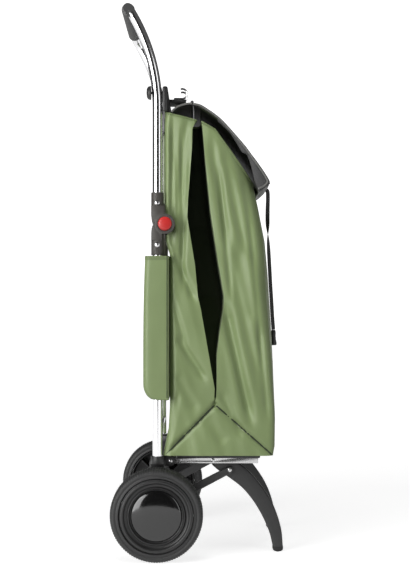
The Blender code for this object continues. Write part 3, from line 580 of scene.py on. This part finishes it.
# Coated polyester: its thin coat gives the folds a broad, soft shine.
green_cloth = woven("pu_coated_polyester_green", "889b66", 0.9, 0.5, 0.22, sheen=0.15, shade=0.06, coat=0.12)
verts, faces, bag_rings = loft_bag()
bag = new_piece("bag_cloth", verts, faces, green_cloth, 70)
bag.data.materials.append(pleat_shade_cloth)
ring_n = len(bag_rings[0])
# Faces deep in the pleat take the near-black cloth: painted shade.
for face in bag.data.polygons:
    column, row = face.index % ring_n, face.index // ring_n
    column = min(column, ring_n - 1 - column)
    if row < len(bag_rings) - 1 and column in TUCKED and along(PLEAT_DEPTH, face.center.z) > 0.004:
        face.material_index = 1
outward(bag)
wall(bag, CLOTH)
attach(bag, "chassis")
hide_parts("bag_body")
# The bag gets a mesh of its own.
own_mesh(bag)


# ---- Bag seams ----
# A folded hem runs round the bag's mouth, and a welt of doubled cloth, coloured dark, stands in the two seams
# of each foot triangle.
def round_outline(radius, sides=8):
    """An outline for swept: a circle."""
    turns = [math.tau * k / sides for k in range(sides)]
    ring = [(radius * math.cos(a), radius * math.sin(a)) for a in turns]
    return lambda share: ring


# The seams' welt is the green darkened to near black. At the pocket's sides that is painted shade, for the
# shadow in the step where the pocket stands off the bag; in the foot seams it draws the seam lines dark. The
# hem is a shade duller.
dark_seam_shade_cloth = woven("seam_welt_dark_painted_shade", "2c3522", 0.9, 0.7, 0.3)
hem_cloth = woven("hem_green", "78895a", 0.9, 0.6, 0.3)
mouth = [Vector(p) for p in bag_rings[-1]]
hem = swept("mouth_hem", mouth, round_outline(0.0016), hem_cloth, closed=True)
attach(hem, "chassis")
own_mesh(hem)
SIDES = (("left", 1), ("right", -1))
for label, side in SIDES:
    for mark, (start, end) in (("rear", TRIANGLE[:2]), ("front", TRIANGLE[1:])):
        route = []
        for k in range(41):
            t = k / 40
            x = start[0] + (end[0] - start[0]) * t
            z = start[1] + (end[1] - start[1]) * t
            corner_r = along(CORNER_ROUND, z)
            near = max(0.0, (x - (along(FRONT_LINE, z) - corner_r)) / corner_r)
            corner = corner_r * FRONT_CORNER * (1 - math.sqrt(max(0.0, 1 - min(near, 1) ** 2)))
            back = REAR_CORNER * max(0.0, 1 - (x - along(REAR_LINE, z)) / 0.015) ** 2
            out = BAG_HALF + 0.0009 - side_inset(x, z) * (1 - min(near, 1)) - corner - back
            route.append(Vector((x, side * out, z)))
        welt = swept(f"foot_seam_{mark}_{label}", route[1:-1], round_outline(0.0013), dark_seam_shade_cloth)
        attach(welt, "chassis")
        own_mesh(welt)


# ---- Lid ----
# Stiffened flap of black cloth with a piped edge, side wings and a green lining. It springs from a fixed strip
# sewn to the bag's rear, and turns up on the crease in front of the hanger's arm.
LID_HALF = 0.157
PIPING_R = 0.0021
SIDE_DROP = 0.005    # how far the flap's sides hang below its middle
CREASE = (-0.0105, 0.8205)
LID_LINE = [
    (CREASE[0] + 0.0024, CREASE[1] - 0.0006), (0.0060, 0.8165), (0.0215, 0.8070), (0.0350, 0.7975),
    (0.0480, 0.7860), (0.0680, 0.7640), (0.0860, 0.7430), (0.1020, 0.7215), (0.1180, 0.6990),
    (0.1275, 0.6835), (0.1300, 0.6760), (0.1275, 0.6690), (0.1200, 0.6625), (0.1115, 0.6585),
]
ROOT_LINE = [
    (-0.0510, 0.8035), (-0.0460, 0.8090), (-0.0380, 0.8145), (-0.0270, 0.8185), (-0.0180, 0.8202),
    (CREASE[0] - 0.0004, CREASE[1]),
]
# Black polyester: matt, and its sheen greys the edges that turn away. The lining's green is painted dark, as
# painted shade under the flap, and it is dull.
black_cloth = woven("black_polyester_cloth", "343434", 0.9, 0.62, 0.35, sheen=0.35, shade=0.08)
lining_shade_cloth = woven("lining_green_painted_shade", "3b4629", 0.9, 0.6, 0.3, shade=0.06)
piping_highlight_cloth = woven("piping_painted_highlight", "6e6e6b", 0.7, 0.45, 0.4)


def flap(name, line, half, material, drop, inset=0.0, steps=6, across=28, thickness=0.0016):
    """A sheet drawn through (x, z) points, its sides a little lower than its middle."""
    path = smooth_route([(x, 0, z) for x, z in line], steps)
    verts = []
    for i, p in enumerate(path):
        ahead, behind = path[min(i + 1, len(path) - 1)], path[max(i - 1, 0)]
        run = (ahead - behind).normalized()
        up = Vector((-run.z, 0, run.x))
        if up.z < 0 and i < len(path) * 0.7:
            up = -up
        for k in range(across + 1):
            s = 2 * k / across - 1
            sway = noise.noise(Vector((s * 2.2, i * 0.06, 4.4))) * 0.0012 * (1 - s * s)
            low = drop * abs(s) ** 5
            verts.append(p + Vector((0, s * half, 0)) - up * (inset + low) + up * sway)
    n = across + 1
    piece = new_piece(name, verts, grid_faces(len(path), n, looped=False), material, 60)
    wall(piece, thickness)
    outward(piece)
    return piece, path, verts, n


lid, lid_path, lid_points, lid_n = flap("lid_cloth", LID_LINE, LID_HALF, black_cloth, SIDE_DROP)
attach(lid, "lid")
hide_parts("bag_lid")
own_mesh(lid)
# The lining's dark green is painted shade.
lining = flap("lid_lining", LID_LINE[1:], LID_HALF - 0.004, lining_shade_cloth, SIDE_DROP, inset=0.0030,
              thickness=0.0008)[0]
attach(lining, "lid")
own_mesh(lining)
edge = [lid_points[i * lid_n] for i in range(len(lid_path))]
edge += [lid_points[(len(lid_path) - 1) * lid_n + k] for k in range(1, lid_n - 1)]
edge += [lid_points[i * lid_n + lid_n - 1] for i in reversed(range(len(lid_path)))]
# The piping's grey is a painted highlight on black tape.
piping = swept("lid_piping", edge, round_outline(PIPING_R), piping_highlight_cloth)
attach(piping, "lid")
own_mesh(piping)


def smooth_pairs(line, steps):
    """Points (x, z) along a smooth curve through the given ones."""
    return [(p.x, p.z) for p in smooth_route([(x, 0, z) for x, z in line], steps)]


WING_TOP = [
    (0.0357, 0.7965), (0.0480, 0.7858), (0.0600, 0.7730), (0.0680, 0.7640), (0.0770, 0.7535),
    (0.0860, 0.7430), (0.0950, 0.7305), (0.1020, 0.7215), (0.1100, 0.7105), (0.1180, 0.6990),
    (0.1275, 0.6835), (0.1295, 0.6760),
]
WING_FOOT = [
    (0.0357, 0.7850), (0.0450, 0.7765), (0.0530, 0.7690), (0.0581, 0.7630), (0.0690, 0.7460),
    (0.0789, 0.7295), (0.0836, 0.7270), (0.0880, 0.7240), (0.0949, 0.7055), (0.1005, 0.6814),
    (0.1060, 0.6655), (0.1105, 0.6570),
]
for label, side in SIDES:
    verts, down = [], 8
    for (xa, za), (xb, zb) in zip(smooth_pairs(WING_TOP, 5), smooth_pairs(WING_FOOT, 5)):
        za -= 0.0045    # the wing starts under the flap's edge
        for k in range(down + 1):
            t = k / down
            lean = 0.0012 * math.sin(math.pi * t) - 0.0035 * t
            verts.append((xa + (xb - xa) * t, side * (LID_HALF - 0.0004 + lean), za + (zb - za) * t))
    faces = grid_faces(len(verts) // (down + 1), down + 1, looped=False)
    wing = new_piece(f"lid_wing_{label}", verts, faces, black_cloth, 60)
    wall(wing, CLOTH, 0)
    outward(wing)
    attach(wing, "lid")
    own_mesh(wing)
root, root_path, root_points, root_n = flap("lid_root_cloth", ROOT_LINE, LID_HALF, black_cloth, SIDE_DROP)
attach(root, "chassis")
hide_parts("lid_root")
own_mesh(root)
for label, k in (("right", 0), ("left", root_n - 1)):
    side_edge = [root_points[i * root_n + k] for i in range(len(root_path))]
    # The piping's grey is a painted highlight on black tape.
    trim = swept(f"root_piping_{label}", side_edge, round_outline(PIPING_R), piping_highlight_cloth)
    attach(trim, "chassis")
    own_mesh(trim)
crease_half = LID_HALF - 0.001
crease_line = [Vector((CREASE[0], y, CREASE[1] - 0.0022)) for y in np.linspace(-crease_half, crease_half, 25)]
crease_strip = swept("lid_crease_strip", crease_line, round_outline(0.0022), black_cloth)
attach(crease_strip, "chassis")
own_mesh(crease_strip)


# ---- Rear pocket ----
# Flat pocket of the bag's cloth, sewn round both lower tubes. Its foot is rounded at the rear, its mouth has a
# turned hem, and a seam runs down each side.
pocket_low, pocket_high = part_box("rear_pocket")


def pocket_ring(z):
    """Level section of the pocket, as a rounded loop round both tubes."""
    x0, x1, half = pocket_low.x, pocket_high.x, pocket_high.y
    foot = max(0.0, 1 - (z - pocket_low.z) / 0.028)
    x0 += 0.020 * (1 - math.sqrt(max(0.0, 1 - foot ** 2)))
    high = max(0.0, (z - pocket_high.z + 0.16) / 0.16)
    x0 += 0.0035 * high ** 2
    ring = []
    corners = ((x1, -half, 0.0025), (x1, half, 0.0025), (x0, half, 0.010), (x0, -half, 0.010))
    starts = (-90, 0, 90, 180)
    for (cx, cy, r), start in zip(corners, starts):
        r = min(r, (x1 - x0) / 2.2)
        ox, oy = cx + (r if cx == x0 else -r), cy + (r if cy < 0 else -r)
        for k in range(7):
            a = math.radians(start + 90 * k / 6)
            ring.append(Vector((ox + r * math.cos(a), oy + r * math.sin(a), z)))
    dense = []
    for a, b in zip(ring, ring[1:] + ring[:1]):
        parts = max(1, int((b - a).length / 0.008))
        dense += [a.lerp(b, m / parts) for m in range(parts)]
    return dense


def loft_pocket():
    """The pocket's points and faces from foot to mouth, and how many points are in a ring."""
    count = len(pocket_ring((pocket_low.z + pocket_high.z) / 2))
    steps = 60
    levels = [pocket_low.z + (pocket_high.z - pocket_low.z) * (j / steps) ** 1.35 for j in range(steps + 1)]
    verts = []
    for z in levels:
        ring = pocket_ring(z)
        share = (z - pocket_low.z) / (pocket_high.z - pocket_low.z)
        for k in range(count):
            p = ring[int(k * len(ring) / count)].copy()
            soft = noise.noise(Vector((p.y * 9, p.x * 30, z * 8))) * 0.0016 * math.sin(math.pi * share)
            p.y += math.copysign(soft, p.y) if abs(p.y) > 0.15 else 0
            p.x += soft * 1.6 if abs(p.y) < 0.14 else 0
            verts.append(p)
    return verts, grid_faces(len(levels), count), count


verts, faces, pocket_n = loft_pocket()
pocket = new_piece("pocket_cloth", verts, faces, green_cloth, 50)
outward(pocket)
wall(pocket, CLOTH)
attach(pocket, "chassis")
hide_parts("rear_pocket")
HEM_OUTLINE = [(-0.0005, -0.007), (0.0010, -0.007), (0.0010, -0.0004), (-0.0005, -0.0004)]
pocket_hem = swept("pocket_hem", verts[-pocket_n:], lambda share: HEM_OUTLINE, hem_cloth, closed=True)
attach(pocket_hem, "chassis")
for label, side in SIDES:
    x, y = pocket_high.x - 0.0035, side * (pocket_high.y + 0.0004)
    line = [Vector((x, y, z)) for z in np.linspace(pocket_low.z + 0.004, pocket_high.z, 24)]
    # The seam's dark colour is painted shade for the shadow in the step at the pocket's edge.
    seam = swept(f"pocket_seam_{label}", line, round_outline(0.0008, 6), dark_seam_shade_cloth)
    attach(seam, "chassis")


# ---- Wheels ----
# Solid black tyre with fine cross ribs over its tread, pressed on a moulded rim. A glossy domed cap covers the
# hub and the axle's end. The rim's inner side is open, with eight ribs.
def polished(name, colour, roughness, streak=0.0):
    """Drawn and polished metal. Faint lengthwise draw lines break up its reflection."""
    material, shader = finish_of(name, colour, roughness, 1.0)
    place = add_node(material, "ShaderNodeTexCoord").outputs["Object"]
    stretch = add_node(material, "ShaderNodeMapping", [("Vector", place)])
    stretch.inputs["Scale"].default_value = (1500, 1500, 12)    # lines 0.7 mm apart and 80 mm long
    lines = add_node(material, "ShaderNodeTexNoise", [("Vector", stretch.outputs[0])], Scale=1.0, Detail=2.0)
    add_node(material, "ShaderNodeBump", [("Height", lines.outputs["Fac"]), ("Normal", shader, "Normal")],
             Strength=streak, Distance=0.0001)
    smears = add_node(material, "ShaderNodeTexNoise", [("Vector", place)], Scale=22.0, Detail=4.0)
    add_node(material, "ShaderNodeMapRange",
             [("Value", smears.outputs["Fac"]), ("Result", shader, "Roughness")],
             To_Min=max(0.02, roughness - 0.05), To_Max=roughness + 0.07)
    return material


# Solid tyre compound is dull. The cap's ABS comes from a mirror-polished mould, the rim's from a grained one.
# Bright zinc plate on steel gives a blurred, pale reflection.
tyre_rubber = moulded("solid_tyre_compound", "303030", 0.55, 0.6, 0.4)
gloss_black = moulded("gloss_black_abs", "141414", 0.10, 2.5, 0.02, coat=0.6)
rim_black = moulded("black_abs_rim", "262626", 0.34, 0.8, 0.15)
zinc = polished("bright_zinc_steel", "c4c4c4", 0.25, 0.1)
tyre_low, tyre_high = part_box("tyre_left")
WHEEL_R = (tyre_high.z - tyre_low.z) / 2
WHEEL_HALF = (tyre_high.y - tyre_low.y) / 2
AXLE = ((tyre_low.x + tyre_high.x) / 2, (tyre_low.z + tyre_high.z) / 2)
SEAT_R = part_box("rim_left")[1].z - AXLE[1]
TREAD_RIBS = 110      # round the wheel
GROOVE = 0.0011       # depth between two ribs
TREAD_BAND = 0.0075   # how far down the shoulder the ribs reach
RIM_RIBS = 8
RIM_HALF = 0.020
CAP_R = 0.0452


def tread_groove(piece, middle):
    """Presses the tread in between its ribs and leaves the side walls alone."""
    for vertex in piece.data.vertices:
        x, z = vertex.co.x - AXLE[0], vertex.co.z - AXLE[1]
        r = math.hypot(x, z)
        if r > WHEEL_R - TREAD_BAND and abs(vertex.co.y - middle) < WHEEL_HALF - 0.0005:
            around = math.atan2(z, x) * TREAD_RIBS
            lower = GROOVE * max(0.0, math.sin(around)) * min(1.0, (r - WHEEL_R + TREAD_BAND) / 0.004)
            vertex.co.x -= x / r * lower
            vertex.co.z -= z / r * lower


w = WHEEL_HALF
shoulder_turns = [math.radians(90 - 10 * k) for k in range(9)]
TYRE_LINE = [(WHEEL_R, w * 0.3)] + [
    (WHEEL_R - 0.0072 * (1 - math.sin(a)) * 0.9, w - 0.0095 + 0.0085 * math.cos(a)) for a in shoulder_turns
] + [
    (WHEEL_R - 0.0085, w - 0.0006), (WHEEL_R - 0.0100, w - 0.0016), (WHEEL_R - 0.0110, w - 0.0016),
    (WHEEL_R - 0.0120, w - 0.0006), (WHEEL_R - 0.0150, w - 0.0008), (SEAT_R + 0.0014, w - 0.0022),
    (SEAT_R + 0.0003, w - 0.0035),
]
RIM_LINE = [
    (SEAT_R, RIM_HALF - 0.001), (SEAT_R, -RIM_HALF + 0.001), (SEAT_R - 0.0008, -RIM_HALF),
    (SEAT_R - 0.0024, -RIM_HALF), (SEAT_R - 0.0036, -RIM_HALF + 0.002), (SEAT_R - 0.0046, 0.0085),
    (SEAT_R - 0.0062, 0.0100), (0.0135, 0.0100), (0.0125, 0.0090), (0.0120, -RIM_HALF + 0.001),
    (0.0112, -RIM_HALF), (0.0053, -RIM_HALF), (0.0053, 0.0145), (0.0462, 0.0145), (0.0472, 0.0150),
    (0.0480, 0.0182), (0.0492, 0.0192), (0.0506, 0.0190), (0.0516, 0.0172), (0.0528, 0.0160),
    (0.0562, 0.0160), (0.0574, 0.0170), (0.0586, 0.0196), (0.0600, 0.0204), (0.0618, 0.0204),
    (0.0632, 0.0196), (SEAT_R - 0.0012, RIM_HALF - 0.0002),
]
cap_turns = [math.radians(6 * k) for k in range(1, 15)]
CAP_LINE = [(0, 0.0228)] + [
    (CAP_R * math.sin(a), 0.0152 + 0.0076 * math.cos(a) ** 0.9) for a in cap_turns
] + [
    (CAP_R, 0.0152), (CAP_R - 0.0004, 0.0148), (CAP_R - 0.003, 0.0148), (CAP_R - 0.0035, 0.0170),
    (0.024, 0.0195), (0, 0.0205),
]


def bevelled(piece, width, angle=30):
    """Rounds those edges of a piece that turn more than an angle in degrees."""
    edges = piece.modifiers.new("edges", "BEVEL")
    edges.width = width
    edges.segments = 2
    edges.limit_method = "ANGLE"
    edges.angle_limit = math.radians(angle)
    bpy.context.view_layer.objects.active = piece
    bpy.ops.object.modifier_apply(modifier="edges")


for label, side in SIDES:
    middle = side * (tyre_low.y + tyre_high.y) / 2
    centre, out = (AXLE[0], middle, AXLE[1]), (0, side, 0)
    tyre = spun(f"tyre_tread_{label}", TYRE_LINE[::-1] + [(WHEEL_R, 0.0)] + [(r, -h) for r, h in TYRE_LINE],
                centre, out, tyre_rubber, 660, 50)
    tread_groove(tyre, middle)
    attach(tyre, f"wheel_{label}")
    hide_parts(f"tyre_{label}")
    rim = spun(f"rim_moulding_{label}", RIM_LINE, centre, out, rim_black, 96, 40)
    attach(rim, f"wheel_{label}")
    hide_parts(f"rim_{label}")
    for k in range(RIM_RIBS):
        bpy.ops.object.select_all(action="DESELECT")
        bpy.ops.mesh.primitive_cube_add(size=1, location=(0, 0, 0))
        rib = bpy.context.object
        rib.name = f"rim_rib_{label}_{k}"
        rib.data.transform(Matrix.Diagonal((0.0475, 0.026, 0.0026, 1)))
        rib.data.transform(Matrix.Translation((0.0365, -side * 0.0050, 0)))
        rib.data.transform(Matrix.Rotation(math.tau * k / RIM_RIBS, 4, "Y"))
        rib.data.transform(Matrix.Translation(centre))
        bevelled(rib, 0.0008)
        rib.data.materials.append(rim_black)
        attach(rib, f"wheel_{label}")
    cap = spun(f"hub_dome_{label}", CAP_LINE, centre, out, gloss_black, 96, 40)
    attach(cap, f"wheel_{label}")
    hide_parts(f"hub_cap_{label}")


# ---- Frame tubes ----
# Drawn aluminium tube, 17.6 mm, polished bright. The handle is one length, bent back and then across. The lower
# tubes are straight. The crossbar and the zinc-plated axle keep their frame shape.
# Polished aluminium mirrors the room, and its draw lines stretch the reflections along the tube.
tube_metal = polished("polished_aluminium_tube", "e9e9ea", 0.14, 0.12)
TUBE_R = 0.0088
TUBE_WALL = 0.0012
TUBE_X, TUBE_Y = -0.073, 0.150
BEND_Z, BEND_R, LEAN, CORNER_R = 0.810, 0.330, math.radians(28.8), 0.030


def handle_route():
    """The middle line of the handle, up one side, across the top and down the other."""
    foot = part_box("handle_tube")[0].z
    half = [Vector((TUBE_X, TUBE_Y, z)) for z in (foot, foot + 0.02, 0.79)]
    for i in range(25):
        a = LEAN * i / 24
        half.append(Vector((TUBE_X - BEND_R * (1 - math.cos(a)), TUBE_Y, BEND_Z + BEND_R * math.sin(a))))
    end = half[-1].copy()
    run = Vector((-math.sin(LEAN), 0, math.cos(LEAN)))
    for i in range(1, 13):
        a = math.pi / 2 * i / 12
        half.append(end + run * (CORNER_R * math.sin(a)) - Vector((0, CORNER_R * (1 - math.cos(a)), 0)))
    return half + [Vector((p.x, -p.y, p.z)) for p in reversed(half)]


handle = swept("handle_tube_bent", handle_route(), round_outline(TUBE_R, 40), tube_metal, angle=60)
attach(handle, "handle")
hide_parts("handle_tube")
for label, side in SIDES:
    low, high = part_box(f"lower_tube_{label}")
    tall, bore = high.z - low.z, TUBE_R - TUBE_WALL
    body = spun(f"lower_tube_round_{label}", [(TUBE_R, tall), (TUBE_R, 0), (bore, 0), (bore, tall)],
                (TUBE_X, side * TUBE_Y, low.z), (0, 0, 1), tube_metal, 48, 40)
    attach(body, "chassis")
    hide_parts(f"lower_tube_{label}")
for node, metal in (("lower_crossbar", tube_metal), ("axle", zinc)):
    frame["nodes"][node].data.materials.clear()
    frame["nodes"][node].data.materials.append(metal)

# Foam sleeve: matt and pale, with a coarse skin.
grip_foam = moulded("grey_foam_grip", "6a6a6a", 0.75, 1.2, 0.6)
low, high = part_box("handle_grip")
grip_middle = (low + high) / 2
grip_half = (high.y - low.y) / 2
GRIP_R = 0.0122
grip_line = []
for k in range(45):
    h = grip_half - 0.002 - (grip_half * 2 - 0.004) * k / 44
    grip_line.append((GRIP_R - (0.0005 if k % 2 else 0), h))
grip = spun("grip_ribbed", [(0.0115, grip_half)] + grip_line + [(0.0115, -grip_half), (0.0091, -grip_half),
            (0.0091, grip_half)], grip_middle, (0, 1, 0), grip_foam, 48, 50)
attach(grip, "handle")
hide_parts("handle_grip")


# ---- Moulded fittings ----
# Black mouldings (hinge halves, brackets, braces, knobs, hanger and tray), red buttons, and zinc-plated pins,
# rivets, nuts, hook and platform frame. Each keeps its frame shape, and most have their edges rounded.
def rounded_copy(node, name, material, width):
    """A copy of a frame part with merged faces and rounded edges, which stands for it."""
    piece = frame["nodes"][node].copy()
    piece.data = piece.data.copy()
    for key in list(piece.keys()):
        del piece[key]
    piece.name = name
    piece.parent = None
    scene.collection.objects.link(piece)
    bm = bmesh.new()
    bm.from_mesh(piece.data)
    bmesh.ops.remove_doubles(bm, verts=bm.verts, dist=0.00002)
    bmesh.ops.dissolve_limit(bm, angle_limit=math.radians(1.0), verts=bm.verts, edges=bm.edges)
    bm.to_mesh(piece.data)
    bm.free()
    piece.data.materials.clear()
    piece.data.materials.append(material)
    if width:
        bevelled(piece, width, 32)
    piece.data.shade_smooth()
    piece.data.set_sharp_from_angle(angle=math.radians(38))
    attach(piece, frame["nodes"][node]["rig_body"])
    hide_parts(node)
    return piece


# Filled nylon is dull and a little brown, grained polypropylene keeps a satin streak, rubber is matt, and the
# buttons' ABS is half glossy.
hinge_black = moulded("black_nylon_hinge", "4a4743", 0.45, 0.9, 0.3)
leg_black = moulded("black_polypropylene_leg", "333333", 0.40, 0.8, 0.3)
foot_rubber = moulded("foot_rubber", "2b2b2b", 0.75, 0.8, 0.4)
red_abs = moulded("red_abs_button", "d8322f", 0.32, 1.2, 0.08)
for label in ("left", "right"):
    for node, material, width, slot in (
        ("hinge_socket", hinge_black, 0.0007, "black_plastic"),
        ("hinge_housing", hinge_black, 0.0008, "black_plastic"),
        ("axle_bracket", satin_black, 0.0005, "black_plastic"),
        ("brace", leg_black, 0.0, "black_plastic"),
        ("hanger_knob", satin_black, 0.0006, "black_plastic"),
        ("rivet_upper", zinc, 0.0, "steel"),
        ("rivet_lower", zinc, 0.0, "steel"),
        ("platform_pin", zinc, 0.0, "steel"),
        ("leg_pin", zinc, 0.0, "steel"),
        ("brace_rivet", zinc, 0.0, "steel"),
        ("axle_nut", zinc, 0.0002, "steel"),
        ("button", red_abs, 0.0004, "red_plastic"),
    ):
        made = rounded_copy(f"{node}_{label}", f"{node}_shape_{label}", material, width)
for node, material, width, slot in (
    ("bag_hanger", satin_black, 0.0, "black_plastic"), ("cart_hook", zinc, 0.0, "steel"),
    ("platform_frame", zinc, 0.0008, "steel"), ("platform_tray", satin_black, 0.0005, "black_plastic"),
):
    made = rounded_copy(node, f"{node}_shape", material, width)


# ---- Hinge cheeks ----
# The cheek that joins each hinge disc to its sleeve, moulded in one with it. The handle's cheek lies outside
# the socket's, and together they give the hinge its waisted rear edge.
def cheek(name, outline, y0, y1, body):
    """An (x, z) outline as a plate between two values of y, its edges rounded."""
    n = len(outline)
    verts = [(x, y0, z) for x, z in outline] + [(x, y1, z) for x, z in outline]
    faces = [tuple(range(n)), tuple(range(2 * n - 1, n - 1, -1))]
    faces += grid_faces(2, n)
    plate = new_piece(name, verts, faces, hinge_black, 40)
    outward(plate)
    bevelled(plate, 0.0009)
    plate.data.shade_smooth()
    plate.data.set_sharp_from_angle(angle=math.radians(40))
    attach(plate, body)


HOUSING_CHEEK_Y = (0.1626, 0.1659)
SOCKET_CHEEK_Y = (0.1560, 0.1614)
HOUSING_EDGE = [
    (-0.0625, 0.6320), (-0.0840, 0.6320), (-0.0840, 0.6150), (-0.0830, 0.6060), (-0.0812, 0.5985),
    (-0.0775, 0.5925), (-0.0735, 0.5880), (-0.0690, 0.5900),
]
SOCKET_EDGE = [
    (-0.0640, 0.5700), (-0.0840, 0.5700), (-0.0840, 0.5840), (-0.0832, 0.5915), (-0.0815, 0.5970),
    (-0.0760, 0.6000), (-0.0690, 0.5960),
]
for label, side in SIDES:
    cheek(f"housing_cheek_{label}", HOUSING_EDGE, *[side * y for y in HOUSING_CHEEK_Y], "handle")
    cheek(f"socket_cheek_{label}", SOCKET_EDGE, *[side * y for y in SOCKET_CHEEK_Y], "chassis")


# ---- Legs ----
# Each leg is one curved polypropylene moulding, wide under the platform and tapering to a rubber-shod foot.
# Its outline is lofted with rounded edges. The pad under it is a separate moulded shoe.
LEG_FRONT = [
    (0.0205, 0.1725), (0.0270, 0.1768), (0.0450, 0.1735), (0.0600, 0.1690), (0.0715, 0.1650),
    (0.0915, 0.1492), (0.1125, 0.1258), (0.1325, 0.0965), (0.1455, 0.0680), (0.1538, 0.0370),
    (0.1562, 0.0085),
]
LEG_REAR = [
    (0.0202, 0.1700), (0.0212, 0.1655), (0.0260, 0.1590), (0.0300, 0.1550), (0.0400, 0.1470),
    (0.0620, 0.1320), (0.0830, 0.1150), (0.1023, 0.0915), (0.1185, 0.0641), (0.1312, 0.0346),
    (0.1376, 0.0085),
]


def rounded_bar(name, fronts, rears, y0, y1, radius, material):
    """Lofts a bar of rounded rectangular section between two lines of (x, z) points."""
    verts, count = [], 0
    for (xf, zf), (xr, zr) in zip(fronts, rears):
        a, b = Vector((xr, 0, zr)), Vector((xf, 0, zf))
        width = (b - a).length
        r = min(radius, width * 0.45)
        u = (b - a).normalized()
        ring = []
        corners = ((r, y0 + radius, 180), (width - r, y0 + radius, 270),
                   (width - r, y1 - radius, 0), (r, y1 - radius, 90))
        for cu, cy, start in corners:
            for k in range(5):
                t = math.radians(start + 22.5 * k)
                ring.append(a + u * (cu + r * math.cos(t)) + Vector((0, cy + radius * math.sin(t), 0)))
        count = len(ring)
        verts += ring
    rows = len(verts) // count
    faces = grid_faces(rows, count)
    faces += [tuple(range(count))[::-1], tuple((rows - 1) * count + k for k in range(count))]
    piece = new_piece(name, verts, faces, material, 50)
    outward(piece)
    return piece


SHOE_FRONT = [(0.1566, 0.0090), (0.1566, 0.0045), (0.1556, 0.0020), (0.1532, 0.0005), (0.1510, 0.0)]
SHOE_REAR = [(0.1372, 0.0090), (0.1372, 0.0045), (0.1384, 0.0020), (0.1405, 0.0005), (0.1430, 0.0)]
for label in ("left", "right"):
    low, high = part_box(f"leg_{label}")
    leg = rounded_bar(f"leg_moulding_{label}", smooth_pairs(LEG_FRONT, 5), smooth_pairs(LEG_REAR, 5),
                      low.y, high.y, 0.0038, leg_black)
    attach(leg, f"leg_body_{label}")
    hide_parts(f"leg_{label}")
    shoe = rounded_bar(f"foot_shoe_{label}", SHOE_FRONT, SHOE_REAR, low.y - 0.0004, high.y + 0.0004, 0.0040,
                       foot_rubber)
    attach(shoe, f"leg_body_{label}")
    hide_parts(f"foot_pad_{label}")
